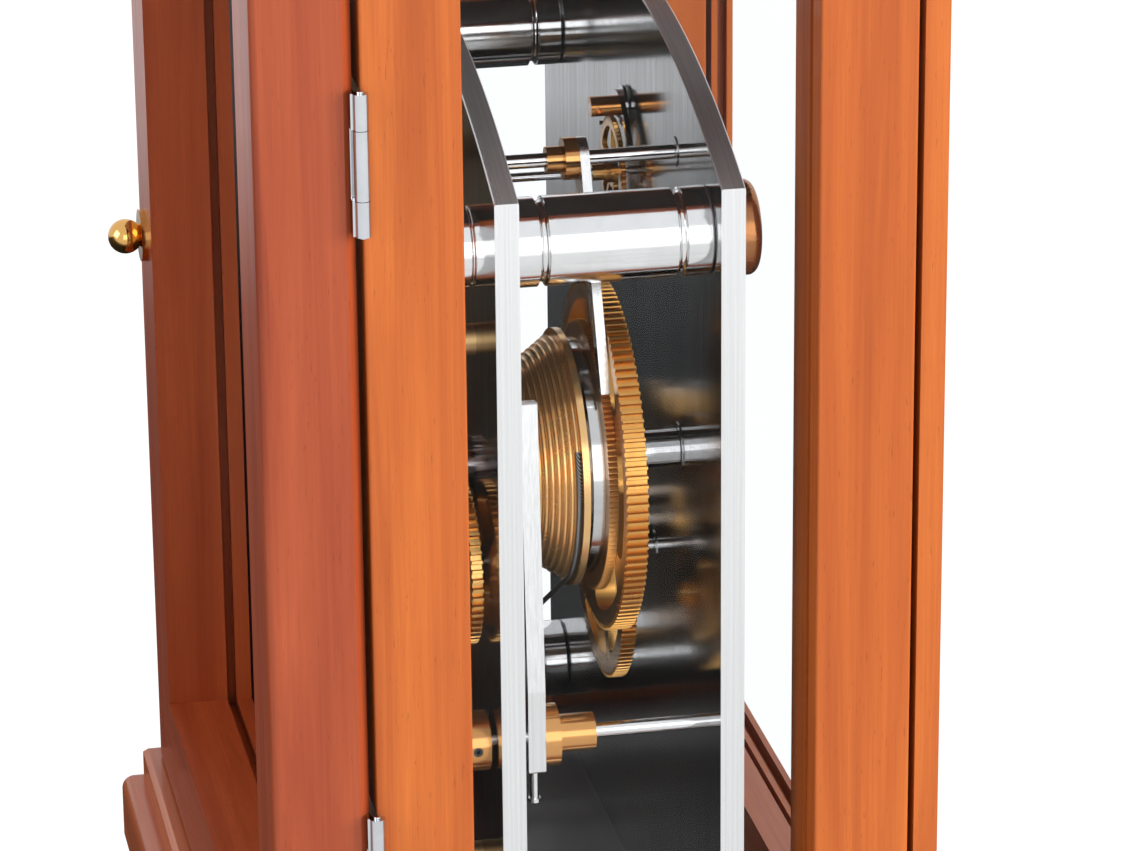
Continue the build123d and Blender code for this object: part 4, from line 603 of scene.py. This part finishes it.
s = Shader("black_wax")
pits = s.noise((4.0, 4.0, 4.0), 3.0)
black_wax = s.finish(Base_Color=s.ramp(pits, [(0.3, (0.008, 0.008, 0.009)), (0.7, (0.03, 0.028, 0.03))]),
                     Roughness=s.spread(pits, 0.3, 0.7, 0.3, 0.5), Normal=s.bump(pits, 0.00002, 0.4))
centre_mm = (0.0, CENTRE[1] * 1000)
numerals = ("XII", "I", "II", "III", "IV", "V", "VI", "VII", "VIII", "IX", "X", "XI")
shapes = []
for hour, letters in enumerate(numerals):
    shapes += numeral(centre_mm, 30.0 * hour, letters, *NUMERAL_RADII)
flat_marks("chapter_numerals", shapes, RING_FRONT - 0.05, RING_FRONT + 0.05, black_wax, "case")
shapes = []
for inner, outer in TRACK_CIRCLES:
    shapes += circle_band(centre_mm, inner, outer)
for minute in range(60):
    width = 0.9 if minute % 5 == 0 else 0.3
    shapes.append(stroke(centre_mm, 6.0 * minute, 75.7, 78.4, 0.0, 0.0, width, width))
flat_marks("minute_track", shapes, RING_FRONT - 0.05, RING_FRONT + 0.05, black_wax, "case")
indicator_mm = (INDICATOR[0] * 1000, INDICATOR[1] * 1000)
shapes = circle_band(indicator_mm, 8.7, 8.9, 60)
for mark in range(9):
    angle = RESERVE_START - RESERVE_SWEEP * mark / 8
    width = 0.5 if mark % 4 == 0 else 0.25
    shapes.append(stroke(indicator_mm, angle, 7.2, 8.8, 0.0, 0.0, width, width))
flat_marks("reserve_scale", shapes, DIAL_FRONT - 0.04, DIAL_FRONT + 0.05, black_wax, "case")

# ------------------------------------------------------------------ screws
screw_steel = polished("screw_steel", (0.50, 0.50, 0.51), rough=0.14, smudge=0.6)
cock_screws = Pieces()
for side in (1, -1):
    place = (side * COCK_SCREW[0], COCK_SCREW[1], COCK_SCREW[2])
    slotted_screw(cock_screws, place, (0, 1, 0), radius=2.3, height=1.3, turn=20.0 + 55.0 * side)
cock_screws.finish("cock_screws", screw_steel, "case")
dial_screws = Pieces()
for side in (1, -1):
    for drop in DIAL_SCREW_DROPS:
        place = (side * DIAL_SCREW_X, DIAL_FRONT, SHOULDER * 1000 - drop)
        slotted_screw(dial_screws, place, (0, -1, 0), radius=2.0, height=0.9,
                      turn=30.0 + 0.7 * place[2] * side)
dial_screws.finish("dial_screws", screw_steel, "case")
black_steel = polished("black_steel", (0.07, 0.07, 0.075), rough=0.2, smudge=0.6)
collar_screw = Pieces()
socket_screw(collar_screw, (STOP[0] * 1000 + 6.0, -23.0, STOP[1] * 1000), (1, 0, 0), radius=0.96, depth=1.6)
collar_screw.finish("collar_set_screw", black_steel, "stop_work")

# ------------------------------------------------------------------ floor, backdrop and light
FLOOR_HALF = 6.0
FLOOR_HEIGHT = -0.0004
LAMP_TARGET = (0.0, 0.0, 0.15)
corners = [(x * FLOOR_HALF, y * FLOOR_HALF, 0) for x, y in ((-1, -1), (1, -1), (1, 1), (-1, 1))]
floor_mesh = bpy.data.meshes.new("floor")
floor_mesh.from_pydata(corners, [], [(0, 1, 2, 3)])
floor = bpy.data.objects.new("floor", floor_mesh)
floor.location = (0, 0, FLOOR_HEIGHT)
scene.collection.objects.link(floor)

# The camera sees the floor white. Metal mirrors it in bands from pale to nearly black, from left to right.
s = Shader("pale_floor")
speck = s.noise((0.05, 0.05, 0.05), 3.0)
tone = s.ramp(s.spread(s.coordinate("X"), -1000.0, 1000.0),
              [(0.0, (0.83, 0.83, 0.84)), (0.13, (0.70, 0.70, 0.71)), (0.17, (0.47, 0.47, 0.48)),
               (0.24, (0.012, 0.012, 0.012)), (0.30, (0.002, 0.002, 0.002)), (0.52, (0.002, 0.002, 0.002)),
               (0.58, (0.8, 0.8, 0.8)), (1.0, (0.92, 0.92, 0.92))])
tone = s.mix(s.spread(speck, 0.2, 0.8, 0.0, 0.4), tone, (0.0, 0.0, 0.0))
white = s.add("ShaderNodeEmission")
white.inputs["Color"].default_value = (0.98, 0.99, 1.0, 1.0)
white.inputs["Strength"].default_value = 1.12
s.show_mix(seen_by(s.tree, "Is Camera Ray", "Is Transmission Ray"), s.principled.outputs[0], white.outputs[0])
floor_mesh.materials.append(s.finish(Base_Color=s.mix(0.8, tone, (0.0, 0.0, 0.0)), Roughness=0.9,
                                     Emission_Color=tone, Emission_Strength=1.3))

world = bpy.data.worlds.new("studio")
scene.world = world
world.use_nodes = True
tree = world.node_tree
mix = tree.nodes.new("ShaderNodeMix")
mix.data_type = "RGBA"
mix.inputs[6].default_value = (0.10, 0.103, 0.106, 1.0)
mix.inputs[7].default_value = (1.10, 1.11, 1.13, 1.0)
tree.links.new(seen_by(tree, "Is Camera Ray", "Is Transmission Ray", "Is Glossy Ray"), mix.inputs[0])
tree.links.new(mix.outputs[2], tree.nodes["Background"].inputs["Color"])


def softbox(name, place, width, height, power, mirrored=True):
    """A rectangular area light that points at the clock and can't be seen directly."""
    data = bpy.data.lights.new(name, "AREA")
    data.shape = "RECTANGLE"
    data.size = width
    data.size_y = height
    data.energy = power
    light = bpy.data.objects.new(name, data)
    way = Vector(LAMP_TARGET) - Vector(place)
    light.rotation_euler = way.to_track_quat("-Z", "Z").to_euler()
    light.location = place
    light.visible_camera = False
    light.visible_glossy = mirrored
    scene.collection.objects.link(light)


softbox("side_box", (1.9, 0.15, 0.25), width=1.8, height=1.9, power=19.0)
softbox("front_box", (0.5, -1.9, 0.9), width=1.2, height=1.2, power=22.0)
softbox("top_box", (0.2, 0.0, 2.0), width=1.4, height=1.4, power=15.0, mirrored=False)
softbox("rear_box", (1.0, 1.5, 0.5), width=1.0, height=1.2, power=48.0, mirrored=False)
